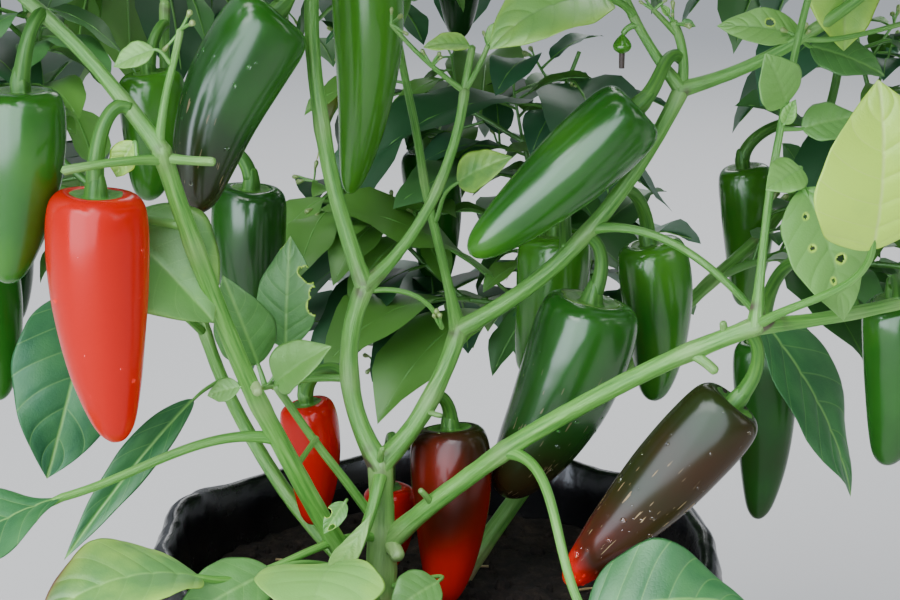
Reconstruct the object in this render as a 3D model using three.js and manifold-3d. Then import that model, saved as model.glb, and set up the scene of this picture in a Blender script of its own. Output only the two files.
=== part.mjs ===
// A fruiting chilli pepper plant in a black film grow bag, at its real size.
// Units are millimetres, +Z is up and -Y is the open front of the plant.
// The origin is the middle of the bag's flat underside, on the ground.
//
// Every piece is one idea used again: a turned profile, bent along a plane curve.
// A limb is a long taper, a fruit is a blunt cone, and a leaf is a profile pressed flat.

import * as THREE from "three";
import { mergeVertices } from "three/addons/utils/BufferGeometryUtils.js";
import Module from "manifold-3d";

const wasm = await Module();
wasm.setup();

// Driving dimensions
const CLEAR = 0.3; // air between two pieces that touch on the real plant
const BAG_RADIUS = 97;
const BAG_HEIGHT = 215;
const FILM = 1.6; // the film with its folds, thicker than the film alone
const COLLAR_DEPTH = 30; // how far the rolled rim hangs down outside
const COLLAR_THICK = 6;
const BAG_SIDES = 24;
const SOIL_LEVEL = 190;
const FRUIT_SIDES = 7;
const LIMB_SIDES = 7;
const LIMB_STEPS = 4;

// The crown's outer shape is an egg round this middle.
const CROWN = { middle: [12, 8, 405], half: [262, 232, 238], lowest: 236 };
// No foliage grows in the open front, between the two front boughs.
const OPEN_FRONT = { halfWidth: 176, back: 28, top: 432 };

// How a mass of foliage grows: twig lengths by level, how many each twig splits into, leaf size.
const TWIG_LENGTHS = [0, 58, 52];
const TWIG_SPLITS = [3, 2, 0];
const TWIG_RADII = [1.7, 1.3, 1.0];
const FORK_ANGLE = 0.72; // radians between a twig and the twigs it splits into
const FORK_SPREAD = 13; // between the roots of the twigs that split from one
const TURN = 2.4; // the golden angle, by which each leaf is turned from the last
const LEAVES_PER_TWIG = 5;
const LEAF_SPACING = 12; // air kept between the midribs of two leaves of one mass
const LEAF_TRIES = 4; // turns tried before a leaf with no room is left out
const LEAF_LENGTH = 86; // with its stalk
const LEAF_WIDTH = 0.42; // of its length
const LEAF_THICK = 0.024; // of its length
const PODS_PER_MASS = 2;
const POD_SIZE = { length: 62, width: 23, stalk: 26 };

// Limbs. on: the limb it grows from, and at: the share of that limb's length.
// reach: from its root to its tip. bow: how far its middle stands off the straight line.
// radii: at the root and at the tip.
const LIMBS = [
  {
    name: "trunk", root: [-19, -21, SOIL_LEVEL - 6],
    reach: [1, 0, 66], bow: [1, 0, 0], radii: [6.8, 3.9],
  },
  {
    name: "left_bough", on: "trunk", at: 0.17,
    reach: [-61, -65, 178], bow: [-6, -4, 0], radii: [3.9, 2.7],
  },
  {
    name: "left_bough_top", on: "left_bough", at: 1,
    reach: [-48, 10, 51], bow: [2, 0, 2], radii: [2.5, 1.9],
  },
  {
    name: "mid_left_bough", on: "trunk", at: 1,
    reach: [-5, 9, 61], bow: [-8, 0, 0], radii: [3.3, 3],
  },
  {
    name: "mid_left_rise", on: "mid_left_bough", at: 1,
    reach: [-13, 27, 144], bow: [-10, 0, 0], radii: [3, 2.3],
  },
  {
    name: "mid_left_spur", on: "mid_left_bough", at: 1,
    reach: [34, 24, 63], bow: [6, 0, -4], radii: [2.2, 1.6],
  },
  {
    name: "mid_right_bough", on: "trunk", at: 1,
    reach: [27, 21, 42], bow: [3, 0, -2], radii: [3.3, 3],
  },
  {
    name: "mid_right_reach", on: "mid_right_bough", at: 1,
    reach: [76, 10, 83], bow: [6, 0, -8], radii: [3, 2.6],
  },
  {
    name: "mid_right_arm", on: "mid_right_reach", at: 1,
    reach: [85, -10, 65], bow: [5, 0, -9], radii: [2.4, 1.8],
  },
  {
    name: "mid_right_fork", on: "mid_right_reach", at: 1,
    reach: [-27, 4, 65], bow: [-6, 0, -2], radii: [1.8, 1.4],
  },
  {
    name: "right_bough", on: "trunk", at: 0.54,
    reach: [119, -49, 95], bow: [-3, 0, 7], radii: [3.5, 2.8],
  },
  {
    name: "right_bough_outer", on: "right_bough", at: 1,
    reach: [104, 25, 20], bow: [0, 0, -5], radii: [2.4, 1.7],
  },
  {
    name: "right_bough_rise", on: "right_bough", at: 1,
    reach: [17, 25, 105], bow: [-3, 0, 0], radii: [1.5, 1.1],
  },
  {
    name: "back_stem", root: [5, 12, SOIL_LEVEL - 6],
    reach: [123, 86, 116], bow: [-7, -2, 4], radii: [4, 2.4],
  },
  {
    name: "back_stem_top", on: "back_stem", at: 1,
    reach: [35, 32, 100], bow: [10, 8, -10], radii: [2.2, 1.6],
  },
  {
    name: "back_left_bough", on: "trunk", at: 0.27,
    reach: [-85, 120, 190], bow: [-24, 14, -28], radii: [3.4, 1.9],
  },
  {
    name: "mid_back_spur", on: "mid_right_bough", at: 1,
    reach: [-23, 75, 93], bow: [0, 0, -3], radii: [1.9, 1.4],
  },
];

// Large fruits. stalk: from the limb to the cap of the fruit, and arch: how far its middle bows out.
// hang: from the cap to the tip, and bend: how far the fruit's middle bows out.
const FRUITS = [
  {
    name: "fruit_left_green", on: "left_bough_top", at: 0.75, width: 25,
    stalk: [-7, -4, -22], arch: [0, -3, 3], hang: [-8, 0, -59], bend: [2, 0, 0],
  },
  {
    name: "fruit_left_red", on: "left_bough_top", at: 0.22, width: 30,
    stalk: [-10, -7, -24], arch: [-5, -2, 9], hang: [3, 0, -78], bend: [-2, 0, 0],
  },
  {
    name: "fruit_upper_dark", on: "mid_left_rise", at: 0.82, width: 30,
    stalk: [-11, -18, -25], arch: [-3, -2, 6], hang: [-28, -10, -66], bend: [-5, 0, 3],
  },
  {
    name: "fruit_upper_back", on: "back_left_bough", at: 0.97, width: 25,
    stalk: [-5, -12, -16], arch: [0, -4, 4], hang: [-3, 0, -50], bend: [2, 0, 0],
  },
  {
    name: "fruit_hanging_long", on: "mid_left_rise", at: 0.95, width: 25,
    stalk: [13, 16, -26], arch: [4, 2, 6], hang: [-6, 4, -89], bend: [4, 0, 0],
  },
  {
    name: "fruit_centre_green", on: "mid_right_reach", at: 0.99, width: 28,
    stalk: [-16, -16, -2], arch: [-1, -2, 5], hang: [-56, -8, -49], bend: [-3, 0, -4],
  },
  {
    name: "fruit_left_back", on: "back_left_bough", at: 0.75, width: 27,
    stalk: [34, -35, 2], arch: [0, 0, 9], hang: [2, 0, -63], bend: [-2, 0, 0],
  },
  {
    name: "fruit_small_red", on: "mid_left_bough", at: 0.5, width: 20,
    stalk: [-16, 15, -14], arch: [-2, 2, 7], hang: [1, 0, -46], bend: [2, 0, 0],
  },
  {
    name: "fruit_foot_red", on: "mid_right_bough", at: 0.12, width: 19,
    stalk: [-3, 32, -26], arch: [0, 3, 7], hang: [-1, 0, -32], bend: [1, 0, 0],
  },
  {
    name: "fruit_low_turning", on: "mid_right_bough", at: 0.52, width: 28,
    stalk: [7, 8, -13], arch: [3, 0, 6], hang: [-3, -9, -64], bend: [2, 0, 0],
  },
  {
    name: "fruit_middle_dark", on: "mid_right_reach", at: 0.48, width: 36,
    stalk: [3, 2, -24], arch: [2, 0, 2], hang: [-32, -2, -72], bend: [4, 0, -3],
  },
  {
    name: "fruit_middle_back", on: "mid_right_reach", at: 0.4, width: 27,
    stalk: [-1, 52, -6], arch: [0, 0, 10], hang: [-10, 0, -56], bend: [3, 0, 0],
  },
  {
    name: "fruit_middle_far", on: "mid_right_reach", at: 0.6, width: 26,
    stalk: [17, 36, -23], arch: [0, 4, 8], hang: [3, 0, -61], bend: [3, 0, 0],
  },
  {
    name: "fruit_right_turning", on: "right_bough", at: 0.98, width: 26,
    stalk: [-2, 6, -26], arch: [4, 0, -1], hang: [-53, 2, -64], bend: [-3, 0, -4],
  },
  {
    name: "fruit_right_shadow", on: "right_bough_outer", at: 0.3, width: 22,
    stalk: [-15, 82, -34], arch: [0, 0, 14], hang: [1, 2, -70], bend: [2, 0, 0],
  },
  {
    name: "fruit_right_edge", on: "right_bough_outer", at: 0.44, width: 25,
    stalk: [3, 20, -4], arch: [0, 2, 8], hang: [0, 0, -58], bend: [3, 0, 0],
  },
  {
    name: "fruit_right_low", on: "right_bough_outer", at: 0.72, width: 24,
    stalk: [2, 46, -62], arch: [4, 10, 6], hang: [1, 0, -38], bend: [2, 0, 0],
  },
  {
    name: "fruit_far_back", on: "back_stem_top", at: 0.45, width: 22,
    stalk: [-32, -8, -12], arch: [0, 0, 10], hang: [2, 0, -58], bend: [2, 0, 0],
  },
];
// A fruit's outline: share of its length from the cap, and share of its widest radius.
const FRUIT_OUTLINE = [[0, 0], [0, 0.62], [0.08, 0.94], [0.28, 1], [0.6, 0.84], [0.93, 0.4], [1, 0]];

// Large leaves on stalks of their own. stalk: from the limb to the foot of the blade.
// blade: from its foot to its tip. back: which way its middle bows out, towards its upper side.
const LEAVES = [
  {
    name: "leaf_low_left", on: "left_bough", at: 0.44, width: 40,
    stalk: [-66, -26, -10], arch: [0, 0, 9], blade: [-44, -25, -25], back: [-2, -1, 5],
  },
  {
    name: "leaf_yellowing", on: "left_bough", at: 0.09, width: 34,
    stalk: [-49, -44, 20], arch: [0, 0, 4], blade: [-47, -30, -2], back: [0, -2, 8],
  },
  {
    name: "leaf_foot", on: "trunk", at: 0.96, width: 40,
    stalk: [-11, -25, -23], arch: [3, -8, 3], blade: [-9, -48, 0], back: [-1, -2, 7],
  },
  {
    name: "leaf_left_shade", on: "back_left_bough", at: 0.5, width: 42,
    stalk: [-35, -34, 27], arch: [0, 0, 6], blade: [-16, -22, -64], back: [-3, -7, 3],
  },
  {
    name: "leaf_top_pale", on: "mid_right_fork", at: 0.42, width: 30,
    stalk: [-9, -4, 6], arch: [0, 0, 3], blade: [-40, -20, -14], back: [-2, -5, 6],
  },
  {
    name: "leaf_bright_yellow", on: "right_bough", at: 1, width: 40,
    stalk: [28, -30, 32], arch: [2, -2, 2], blade: [-3, -8, 52], back: [1, -6, 1],
  },
  {
    name: "leaf_holed", on: "right_bough_rise", at: 0.44, width: 26,
    stalk: [8, -10, -3], arch: [0, 0, 5], blade: [13, -8, -40], back: [1, -5, 2],
  },
  {
    name: "leaf_right_dark", on: "mid_right_reach", at: 0.5, width: 30,
    stalk: [56, -26, -24], arch: [3, 0, 12], blade: [36, 8, -68], back: [4, -4, 2],
  },
  {
    name: "leaf_front_right", on: "right_bough", at: 0.38, width: 38,
    stalk: [26, -44, -40], arch: [10, 0, 14], blade: [54, 8, 0], back: [0, -5, 7],
  },
];
const LEAF_OUTLINE = [[0, 0], [0.03, 0.22], [0.26, 0.88], [0.44, 1], [0.72, 0.62], [1, 0]];

// Masses of foliage. Each keeps to the space that is nearer its own middle than any other's.
const MASSES = [
  { name: "foliage_left_front", on: "left_bough_top", at: 1, middle: [-170, -100, 470], seed: 11 },
  { name: "foliage_left", on: "back_left_bough", at: 0.6, middle: [-185, 70, 380], seed: 12 },
  { name: "foliage_front", on: "mid_left_rise", at: 1, middle: [-15, -115, 515], seed: 13 },
  { name: "foliage_top", on: "mid_left_rise", at: 0.9, middle: [-60, 40, 560], seed: 14 },
  { name: "foliage_right_top", on: "mid_right_fork", at: 1, middle: [75, 10, 545], seed: 15 },
  { name: "foliage_right_front", on: "right_bough_rise", at: 1, middle: [140, -115, 490], seed: 16 },
  { name: "foliage_right", on: "mid_right_arm", at: 1, middle: [205, 15, 470], seed: 17 },
  { name: "foliage_far_right", on: "right_bough_outer", at: 1, middle: [228, -55, 345], seed: 18 },
  { name: "foliage_back_right", on: "back_stem_top", at: 1, middle: [150, 160, 450], seed: 19 },
  { name: "foliage_low_right", on: "back_stem", at: 0.86, middle: [190, 105, 315], seed: 20 },
  { name: "foliage_back", on: "mid_back_spur", at: 1, middle: [5, 165, 430], seed: 21 },
  { name: "foliage_back_left", on: "back_left_bough", at: 1, middle: [-115, 160, 440], seed: 22 },
  { name: "foliage_low_back", on: "back_stem", at: 0.62, middle: [25, 140, 305], seed: 23 },
];

const MATERIALS = {
  film: new THREE.MeshStandardMaterial({ color: 0x16171a, roughness: 0.3, metalness: 0 }),
  soil: new THREE.MeshStandardMaterial({ color: 0x2a211b, roughness: 1, metalness: 0 }),
  stem: new THREE.MeshStandardMaterial({ color: 0x86b257, roughness: 0.5, metalness: 0 }),
  leaf: new THREE.MeshStandardMaterial({ color: 0x3f7f3a, roughness: 0.55, metalness: 0 }),
  yellow: new THREE.MeshStandardMaterial({ color: 0xb9cc4a, roughness: 0.55, metalness: 0 }),
  green: new THREE.MeshStandardMaterial({ color: 0x2c6a22, roughness: 0.2, metalness: 0 }),
  turning: new THREE.MeshStandardMaterial({ color: 0x4a2a16, roughness: 0.2, metalness: 0 }),
  red: new THREE.MeshStandardMaterial({ color: 0xc81e12, roughness: 0.2, metalness: 0 }),
};

const vec = (a) => new THREE.Vector3(...a);
const plus = (p, q) => p.clone().add(q);
const times = (p, k) => p.clone().multiplyScalar(k);

// A plane curve from root to root + reach, whose middle stands off the straight line by bow.
function arc(root, reach, bow) {
  const control = root.clone().addScaledVector(reach, 0.5).addScaledVector(bow, 2);
  return new THREE.QuadraticBezierCurve3(root, control, plus(root, reach));
}

// A direction square to the plane of an arc, or to the arc itself where it is straight.
function sideOf(curve) {
  const reach = curve.v2.clone().sub(curve.v0);
  const side = reach.clone().cross(curve.v1.clone().sub(curve.v0));
  if (side.length() > 1e-3 * reach.lengthSq()) return side.normalize();
  const spare = Math.abs(reach.x) < Math.abs(reach.z) ? vec([1, 0, 0]) : vec([0, 0, 1]);
  return spare.cross(reach).normalize();
}

// Turns a profile of [share of length, radius] round its axis, presses it to a share of its
// thickness, and bends the axis along a curve.
function bent(profile, sides, curve, press = 1) {
  const points = profile.map(([share, radius]) => new THREE.Vector2(radius, share));
  const geometry = new THREE.LatheGeometry(points, sides);
  const side = sideOf(curve);
  const position = geometry.attributes.position;
  for (let i = 0; i < position.count; i++) {
    const share = position.getY(i);
    const up = side.clone().cross(curve.getTangentAt(share));
    const at = curve.getPointAt(share);
    at.addScaledVector(side, position.getX(i)).addScaledVector(up, position.getZ(i) * press);
    position.setXYZ(i, at.x, at.y, at.z);
  }
  return geometry;
}

// A closed solid from a geometry, with its shared vertices merged and its empty faces dropped.
function solid(geometry) {
  const bare = new THREE.BufferGeometry().setIndex(geometry.index);
  bare.setAttribute("position", geometry.attributes.position);
  const merged = mergeVertices(bare, 1e-4);
  const faces = [];
  for (let i = 0; i < merged.index.count; i += 3) {
    const face = [0, 1, 2].map((k) => merged.index.getX(i + k));
    if (new Set(face).size === 3) faces.push(...face);
  }
  const vertProperties = new Float32Array(merged.attributes.position.array);
  return new wasm.Manifold(new wasm.Mesh({ numProp: 3, vertProperties, triVerts: new Uint32Array(faces) }));
}

// The three.js geometry of a solid's largest body: a scrap cut loose by a neighbour is dropped.
function geometryOf(made) {
  const largest = made.decompose().sort((a, b) => b.volume() - a.volume())[0];
  const mesh = largest.getMesh();
  const geometry = new THREE.BufferGeometry();
  geometry.setAttribute("position", new THREE.BufferAttribute(mesh.vertProperties, 3));
  geometry.setIndex(new THREE.BufferAttribute(mesh.triVerts, 1));
  geometry.computeVertexNormals();
  return geometry;
}

const joined = (solids) => solids.reduce((all, next) => all.add(next));

// A limb's profile, grown outwards by some air so that it can cut its neighbours clear.
function limbProfile([root, tip], grow) {
  const rings = Array.from({ length: LIMB_STEPS + 1 }, (_, i) => i / LIMB_STEPS);
  const radius = (share) => root + (tip - root) * Math.sqrt(share) + grow;
  return [[0, 0], ...rings.map((share) => [share, radius(share)]), [1, 0]];
}

const limbs = {};
const cutters = {};
const ground = solid(new THREE.BoxGeometry(400, 400, 100).translate(0, 0, SOIL_LEVEL + CLEAR - 50));
const clearOfLimbs = (made) => Object.values(cutters).reduce((rest, cutter) => rest.subtract(cutter), made);

// A limb that grows from the soil starts below it and is cut off flat at its top.
function growLimb({ name, on, at, root, reach, bow, radii }) {
  const foot = on ? limbs[on].curve.getPointAt(at) : vec(root);
  const curve = arc(foot, vec(reach), vec(bow));
  const made = clearOfLimbs(solid(bent(limbProfile(radii, 0), LIMB_SIDES, curve)));
  limbs[name] = { curve, radii };
  // The cutter runs on past the limb's tip by the air that a neighbour keeps.
  const along = curve.getTangentAt(1).multiplyScalar(CLEAR);
  const longer = arc(foot, plus(vec(reach), along), vec(bow));
  cutters[name] = solid(bent(limbProfile(radii, CLEAR), LIMB_SIDES, longer));
  return on ? made : made.subtract(ground);
}

// A stalk that ends in the green cap of its fruit.
function stalkProfile(width) {
  const cap = 0.3 * width;
  return [[0, 0], [0, 1.6], [0.84, 2.5], [0.93, cap], [1, cap], [1, 0]];
}

function growFruit({ on, at, stalk, arch, hang, bend, width }) {
  const foot = limbs[on].curve.getPointAt(at);
  const cap = plus(foot, vec(stalk));
  const sunk = times(vec(hang).normalize(), 0.6);
  const stem = arc(foot, plus(vec(stalk), sunk), vec(arch));
  const body = arc(cap, vec(hang), vec(bend));
  const outline = FRUIT_OUTLINE.map(([share, radius]) => [share, (radius * width) / 2]);
  const made = solid(bent(outline, FRUIT_SIDES, body)).add(solid(bent(stalkProfile(width), 4, stem)));
  return { made: clearOfLimbs(made), curves: [[stem, 2], [body, width / 2]] };
}

function growLeaf({ on, at, stalk, arch, blade, back, width }) {
  const foot = limbs[on].curve.getPointAt(at);
  const midrib = arc(plus(foot, vec(stalk)), vec(blade), vec(back));
  const stem = arc(foot, midrib.getPointAt(0.06).sub(foot), vec(arch));
  const length = midrib.getLength();
  const outline = LEAF_OUTLINE.map(([share, half]) => [share, (half * width) / 2]);
  const stalkOutline = [[0, 0], [0, 1.1], [0.5, 0.9], [1, 0.9], [1, 0]];
  const flat = solid(bent(outline, 4, midrib, (LEAF_THICK * length) / width));
  const made = flat.add(solid(bent(stalkOutline, 5, stem)));
  return { made: clearOfLimbs(made), curves: [[stem, 1.2], [midrib, width / 2]] };
}

// Spheres that stand for the limbs, fruits and large leaves, for the foliage to keep clear of.
const obstacles = [];
function blockOff(curve, radius) {
  const count = Math.ceil(curve.getLength() / 5);
  for (let i = 0; i <= count; i++) obstacles.push({ centre: curve.getPointAt(i / count), radius });
}

// The same draws for the same seed, each from 0 to 1.
function seeded(seed) {
  let state = seed;
  return () => {
    state = (state * 1664525 + 1013904223) % 4294967296;
    return state / 4294967296;
  };
}

// Whether a point lies in a mass's own space: inside the crown, nearer its middle than any
// other's, out of the open front, and clear of every obstacle.
function isFree(point, mass, air) {
  const [x, y, z] = CROWN.half.map((half, k) => (point.getComponent(k) - CROWN.middle[k]) / half);
  if (x * x + y * y + z * z > 1 || point.z < CROWN.lowest) return false;
  const { halfWidth, back, top } = OPEN_FRONT;
  if (Math.abs(point.x) < halfWidth && point.y < back && point.z < top) return false;
  const own = vec(mass.middle);
  const inCell = MASSES.every((other) => {
    if (other === mass) return true;
    const theirs = vec(other.middle);
    const nearer = point.distanceToSquared(theirs) - point.distanceToSquared(own);
    return nearer / (2 * own.distanceTo(theirs)) > 1;
  });
  return inCell && obstacles.every(({ centre, radius }) => point.distanceTo(centre) > radius + air);
}

// A direction at an angle from another, turned round it.
function splay(heading, angle, turn) {
  const spare = Math.abs(heading.z) < 0.9 ? vec([0, 0, 1]) : vec([1, 0, 0]);
  const side = spare.cross(heading).normalize();
  const other = heading.clone().cross(side);
  const out = side.multiplyScalar(Math.cos(turn)).addScaledVector(other, Math.sin(turn));
  return times(heading, Math.cos(angle)).addScaledVector(out, Math.sin(angle)).normalize();
}

// Whether the points of a curve stand off every point already taken, past its own root.
function hasRoom(curve, taken, air) {
  return [0.35, 0.55, 0.75, 0.95].every((share) => {
    const at = curve.getPointAt(share);
    return taken.every((other) => other.distanceTo(at) > air);
  });
}

function twigLeaf(foot, heading, turn, size, droop, mass, taken) {
  const out = splay(heading, 1.1, turn);
  const reach = new THREE.Vector3(out.x, out.y, 0.6 * out.z - droop).normalize().multiplyScalar(size);
  const rise = new THREE.Vector3(0.05 * out.x, 0.05 * out.y, 0.13).multiplyScalar(size);
  const curve = arc(foot, reach, rise);
  if (!hasRoom(curve, taken, LEAF_SPACING)) return null;
  const half = (LEAF_WIDTH * size) / 2;
  const side = sideOf(curve);
  for (let share = 0.2; share < 1.01; share += 0.16)
    for (const edge of [-0.9, 0, 0.9]) {
      const at = curve.getPointAt(Math.min(share, 1));
      at.addScaledVector(side, edge * half * Math.min(1, 2.4 * (1 - share)));
      if (!isFree(at, mass, 2)) return null;
    }
  for (const share of [0.35, 0.55, 0.75, 0.95]) taken.push(curve.getPointAt(share));
  return solid(bent([[0, 0], [0.46, half], [1, 0]], 4, curve, LEAF_THICK / LEAF_WIDTH));
}

function growPod(foot, mass, taken) {
  const stem = arc(foot, new THREE.Vector3(5, -4, -POD_SIZE.stalk), new THREE.Vector3(3, -2, 2));
  const body = arc(stem.v2, new THREE.Vector3(4, 0, -POD_SIZE.length), new THREE.Vector3(2, 0, 0));
  const half = POD_SIZE.width / 2;
  if (!hasRoom(body, taken, half + 3)) return null;
  const along = [0, 0.25, 0.5, 0.75, 1].map((share) => body.getPointAt(share));
  if (!along.every((at) => isFree(at, mass, half + 2))) return null;
  taken.push(...along);
  const outline = [[0, 0], [0.03, 0.8 * half], [0.4, half], [0.8, 0.6 * half], [1, 0]];
  const stalkOutline = [[0, 0], [0, 1.3], [1, 1.8], [1, 0]];
  return solid(bent(outline, 6, body)).add(solid(bent(stalkOutline, 3, stem)));
}

// The twigs of one mass: a stem towards its middle, and twigs that split by a seeded rule.
function twigsOf(mass, random) {
  const root = limbs[mass.on].curve.getPointAt(mass.at);
  const way = vec(mass.middle).sub(root);
  const twigs = [];
  const queue = [{ from: root, heading: way.clone().normalize(), length: 0.55 * way.length(), level: 0 }];
  while (queue.length) {
    const twig = queue.shift();
    const { from, heading, length, level } = twig;
    twig.tip = from.clone().addScaledVector(heading, length);
    const middle = from.clone().lerp(twig.tip, 0.5);
    if (level > 0 && !(isFree(middle, mass, 2) && isFree(twig.tip, mass, 2))) continue;
    twigs.push(twig);
    const turn = 2 * Math.PI * random();
    for (let i = 0; i < TWIG_SPLITS[level]; i++) {
      const angle = FORK_ANGLE * (0.8 + 0.4 * random());
      const next = splay(heading, angle, turn + (2 * Math.PI * i) / TWIG_SPLITS[level]);
      const fork = from.clone().lerp(twig.tip, 1 - (3 + FORK_SPREAD * i) / length);
      queue.push({ from: fork, heading: next, length: TWIG_LENGTHS[level + 1], level: level + 1 });
    }
  }
  return twigs;
}

// One mass of foliage, fused from its twigs, its fruits and its leaves. An end twig that has
// no room for a leaf is left out.
function growMass(mass) {
  const random = seeded(mass.seed);
  const twigs = twigsOf(mass, random);
  const along = ({ from, tip }) => [0.25, 0.5, 0.75].map((share) => from.clone().lerp(tip, share));
  const taken = twigs.flatMap(along);
  const pods = [];
  for (const { tip, level } of twigs) {
    const pod = level > 0 && pods.length < PODS_PER_MASS ? growPod(tip, mass, taken) : null;
    if (pod) pods.push(pod);
  }
  const pieces = [];
  let turn = 2 * Math.PI * random();
  for (const { from, tip, heading, level } of twigs) {
    const leaves = [];
    for (let i = 1; i <= LEAVES_PER_TWIG; i++) {
      const size = LEAF_LENGTH * (0.72 + 0.36 * random());
      const droop = 0.2 + 0.8 * random();
      const foot = from.clone().lerp(tip, 0.26 + (0.64 * i) / LEAVES_PER_TWIG);
      let leaf = null;
      for (let tries = 0; tries < LEAF_TRIES && !leaf; tries++) {
        turn += TURN;
        leaf = twigLeaf(foot, heading, turn, size, droop, mass, taken);
      }
      if (leaf) leaves.push(leaf);
    }
    if (TWIG_SPLITS[level] === 0 && leaves.length === 0) continue;
    const radius = TWIG_RADII[level];
    const straight = arc(from, tip.clone().sub(from), new THREE.Vector3());
    const start = level === 0 ? [[0, 0], [0, radius]] : [[0, 0], [3 / TWIG_LENGTHS[level], radius]];
    const end = TWIG_SPLITS[level] === 0 ? [[1, 0]] : [[0.97, 0.85 * radius], [1, 0]];
    pieces.push(solid(bent([...start, ...end], 3, straight)), ...leaves);
  }
  return clearOfLimbs(joined([...pieces, ...pods]));
}

// A closed profile of [radius, height] turned round the plant's upright axis.
function turned(profile) {
  const points = profile.map(([radius, height]) => new THREE.Vector2(radius, height));
  return solid(new THREE.LatheGeometry(points, BAG_SIDES).rotateX(Math.PI / 2));
}

// The bag: a thin wall of film, open at the top, with its rim rolled out and down as a collar.
function growBag() {
  const r = BAG_RADIUS;
  const collar = r + COLLAR_THICK;
  const profile = [
    [0, 0], [r - 10, 0], [r - 4, 7], [r, 50], [r + 1, 100],
    [r - 1, BAG_HEIGHT - COLLAR_DEPTH - 3],
    [collar - 2, BAG_HEIGHT - COLLAR_DEPTH], [collar, BAG_HEIGHT - 10], [r + 2, BAG_HEIGHT],
    [r - 4, BAG_HEIGHT - 3], [r - 4, SOIL_LEVEL], [r - FILM, 100], [r - 5.5, 9], [r - 11, FILM], [0, FILM],
  ];
  return turned(profile);
}

// The soil that fills the bag, clear of the film all round.
function growSoil() {
  const r = BAG_RADIUS - CLEAR;
  const base = FILM + CLEAR;
  const profile = [
    [0, base], [r - 12, base], [r - 6.5, 10], [r - FILM - 0.6, 100],
    [r - 5, SOIL_LEVEL - 3], [r - 8, SOIL_LEVEL], [0, SOIL_LEVEL],
  ];
  return turned(profile);
}

const plant = new THREE.Group();
function add(name, made, material) {
  const mesh = new THREE.Mesh(geometryOf(made), material);
  mesh.name = name;
  plant.add(mesh);
}

const fruitMaterial = (name) => {
  if (name.endsWith("red")) return MATERIALS.red;
  return name.endsWith("dark") || name.endsWith("turning") ? MATERIALS.turning : MATERIALS.green;
};

add("grow_bag", growBag(), MATERIALS.film);
add("soil", growSoil(), MATERIALS.soil);
for (const limb of LIMBS) {
  add(limb.name, growLimb(limb), MATERIALS.stem);
  blockOff(limbs[limb.name].curve, limb.radii[0]);
}
for (const fruit of FRUITS) {
  const { made, curves } = growFruit(fruit);
  add(fruit.name, made, fruitMaterial(fruit.name));
  curves.forEach(([curve, radius]) => blockOff(curve, radius));
}
for (const leaf of LEAVES) {
  const { made, curves } = growLeaf(leaf);
  add(leaf.name, made, /yellow/.test(leaf.name) ? MATERIALS.yellow : MATERIALS.leaf);
  curves.forEach(([curve, radius]) => blockOff(curve, radius));
}
for (const mass of MASSES) add(mass.name, growMass(mass), MATERIALS.leaf);

export default plant;
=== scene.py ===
# %% [markdown]
# # A chilli pepper plant in a grow bag
# The plant has three kinds of green part, and each is one family of surfaces. Stems are ribbed tubes
# carried along a bent path. Pods are a blunt turned outline with dents and lobes. Leaves are thin
# blades folded at the midrib. The bag is a sheet of crumpled film turned round the plant.
# Every length below is in millimetres and is turned to metres when the mesh is made.

import math

import bmesh
import bpy
import numpy as np
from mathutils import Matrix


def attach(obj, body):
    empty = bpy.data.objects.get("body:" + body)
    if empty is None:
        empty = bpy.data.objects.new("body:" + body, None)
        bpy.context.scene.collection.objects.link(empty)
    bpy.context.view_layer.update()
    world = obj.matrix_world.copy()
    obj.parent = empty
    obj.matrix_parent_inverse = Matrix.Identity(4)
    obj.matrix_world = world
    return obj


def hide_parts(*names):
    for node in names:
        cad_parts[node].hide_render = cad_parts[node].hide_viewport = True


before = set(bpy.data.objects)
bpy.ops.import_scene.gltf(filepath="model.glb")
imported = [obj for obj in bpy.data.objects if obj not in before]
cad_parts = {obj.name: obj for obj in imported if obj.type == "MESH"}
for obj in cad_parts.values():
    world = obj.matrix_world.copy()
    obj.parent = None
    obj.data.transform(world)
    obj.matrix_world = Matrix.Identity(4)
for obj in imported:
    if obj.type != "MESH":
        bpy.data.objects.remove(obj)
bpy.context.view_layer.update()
MM = 0.001
print("nodes in the model:", len(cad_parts))

# %% [markdown]
# ## Camera
# The photograph looks a little down at the heart of the plant from close by, and crops the crown
# and the bag. A long lens at 0.7 m gives the same small change of size from front to back.

# %% Camera
VIEW_TARGET = np.array([6.0, 10.0, 300.0])
VIEW_DISTANCE = 704.0
VIEW_DOWN = math.radians(16)
LENS, SENSOR = 80, 36

camera_data = bpy.data.cameras.new("camera")
camera_data.lens = LENS
camera_data.sensor_width = SENSOR
camera = bpy.data.objects.new("camera", camera_data)
bpy.context.scene.collection.objects.link(camera)
sight = np.array([0, math.cos(VIEW_DOWN), -math.sin(VIEW_DOWN)])
camera.location = (VIEW_TARGET - VIEW_DISTANCE * sight) * MM
camera.rotation_euler = (math.pi / 2 - VIEW_DOWN, 0, 0)
bpy.context.scene.camera = camera
print("camera at", [round(v, 3) for v in camera.location])

# %% [markdown]
# ## Floor and light
# The bag stands on a pale floor. The photograph has open shade: a bright sky overhead and little
# direct sun, so one wide lamp stands in for the sky, and the surroundings glow bright and bluish
# overhead and dim towards the horizon. Three weaker lamps lift the shadows. The window lamp shows
# only in reflections: it is the broad bluish highlight on the near side of each pod.

# %% Floor and light
FLOOR_HALF, FLOOR_COLOUR = 9, (0.5, 0.49, 0.475)
SKY_LOW, SKY_HIGH, SKY_FULL_AT, SKY_STRENGTH = (0.32, 0.335, 0.35), (0.9, 1.0, 1.15), 0.85, 0.95
COOL_WHITE, WINDOW_WHITE = (0.8, 0.9, 1), (0.78, 0.86, 1)


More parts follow.
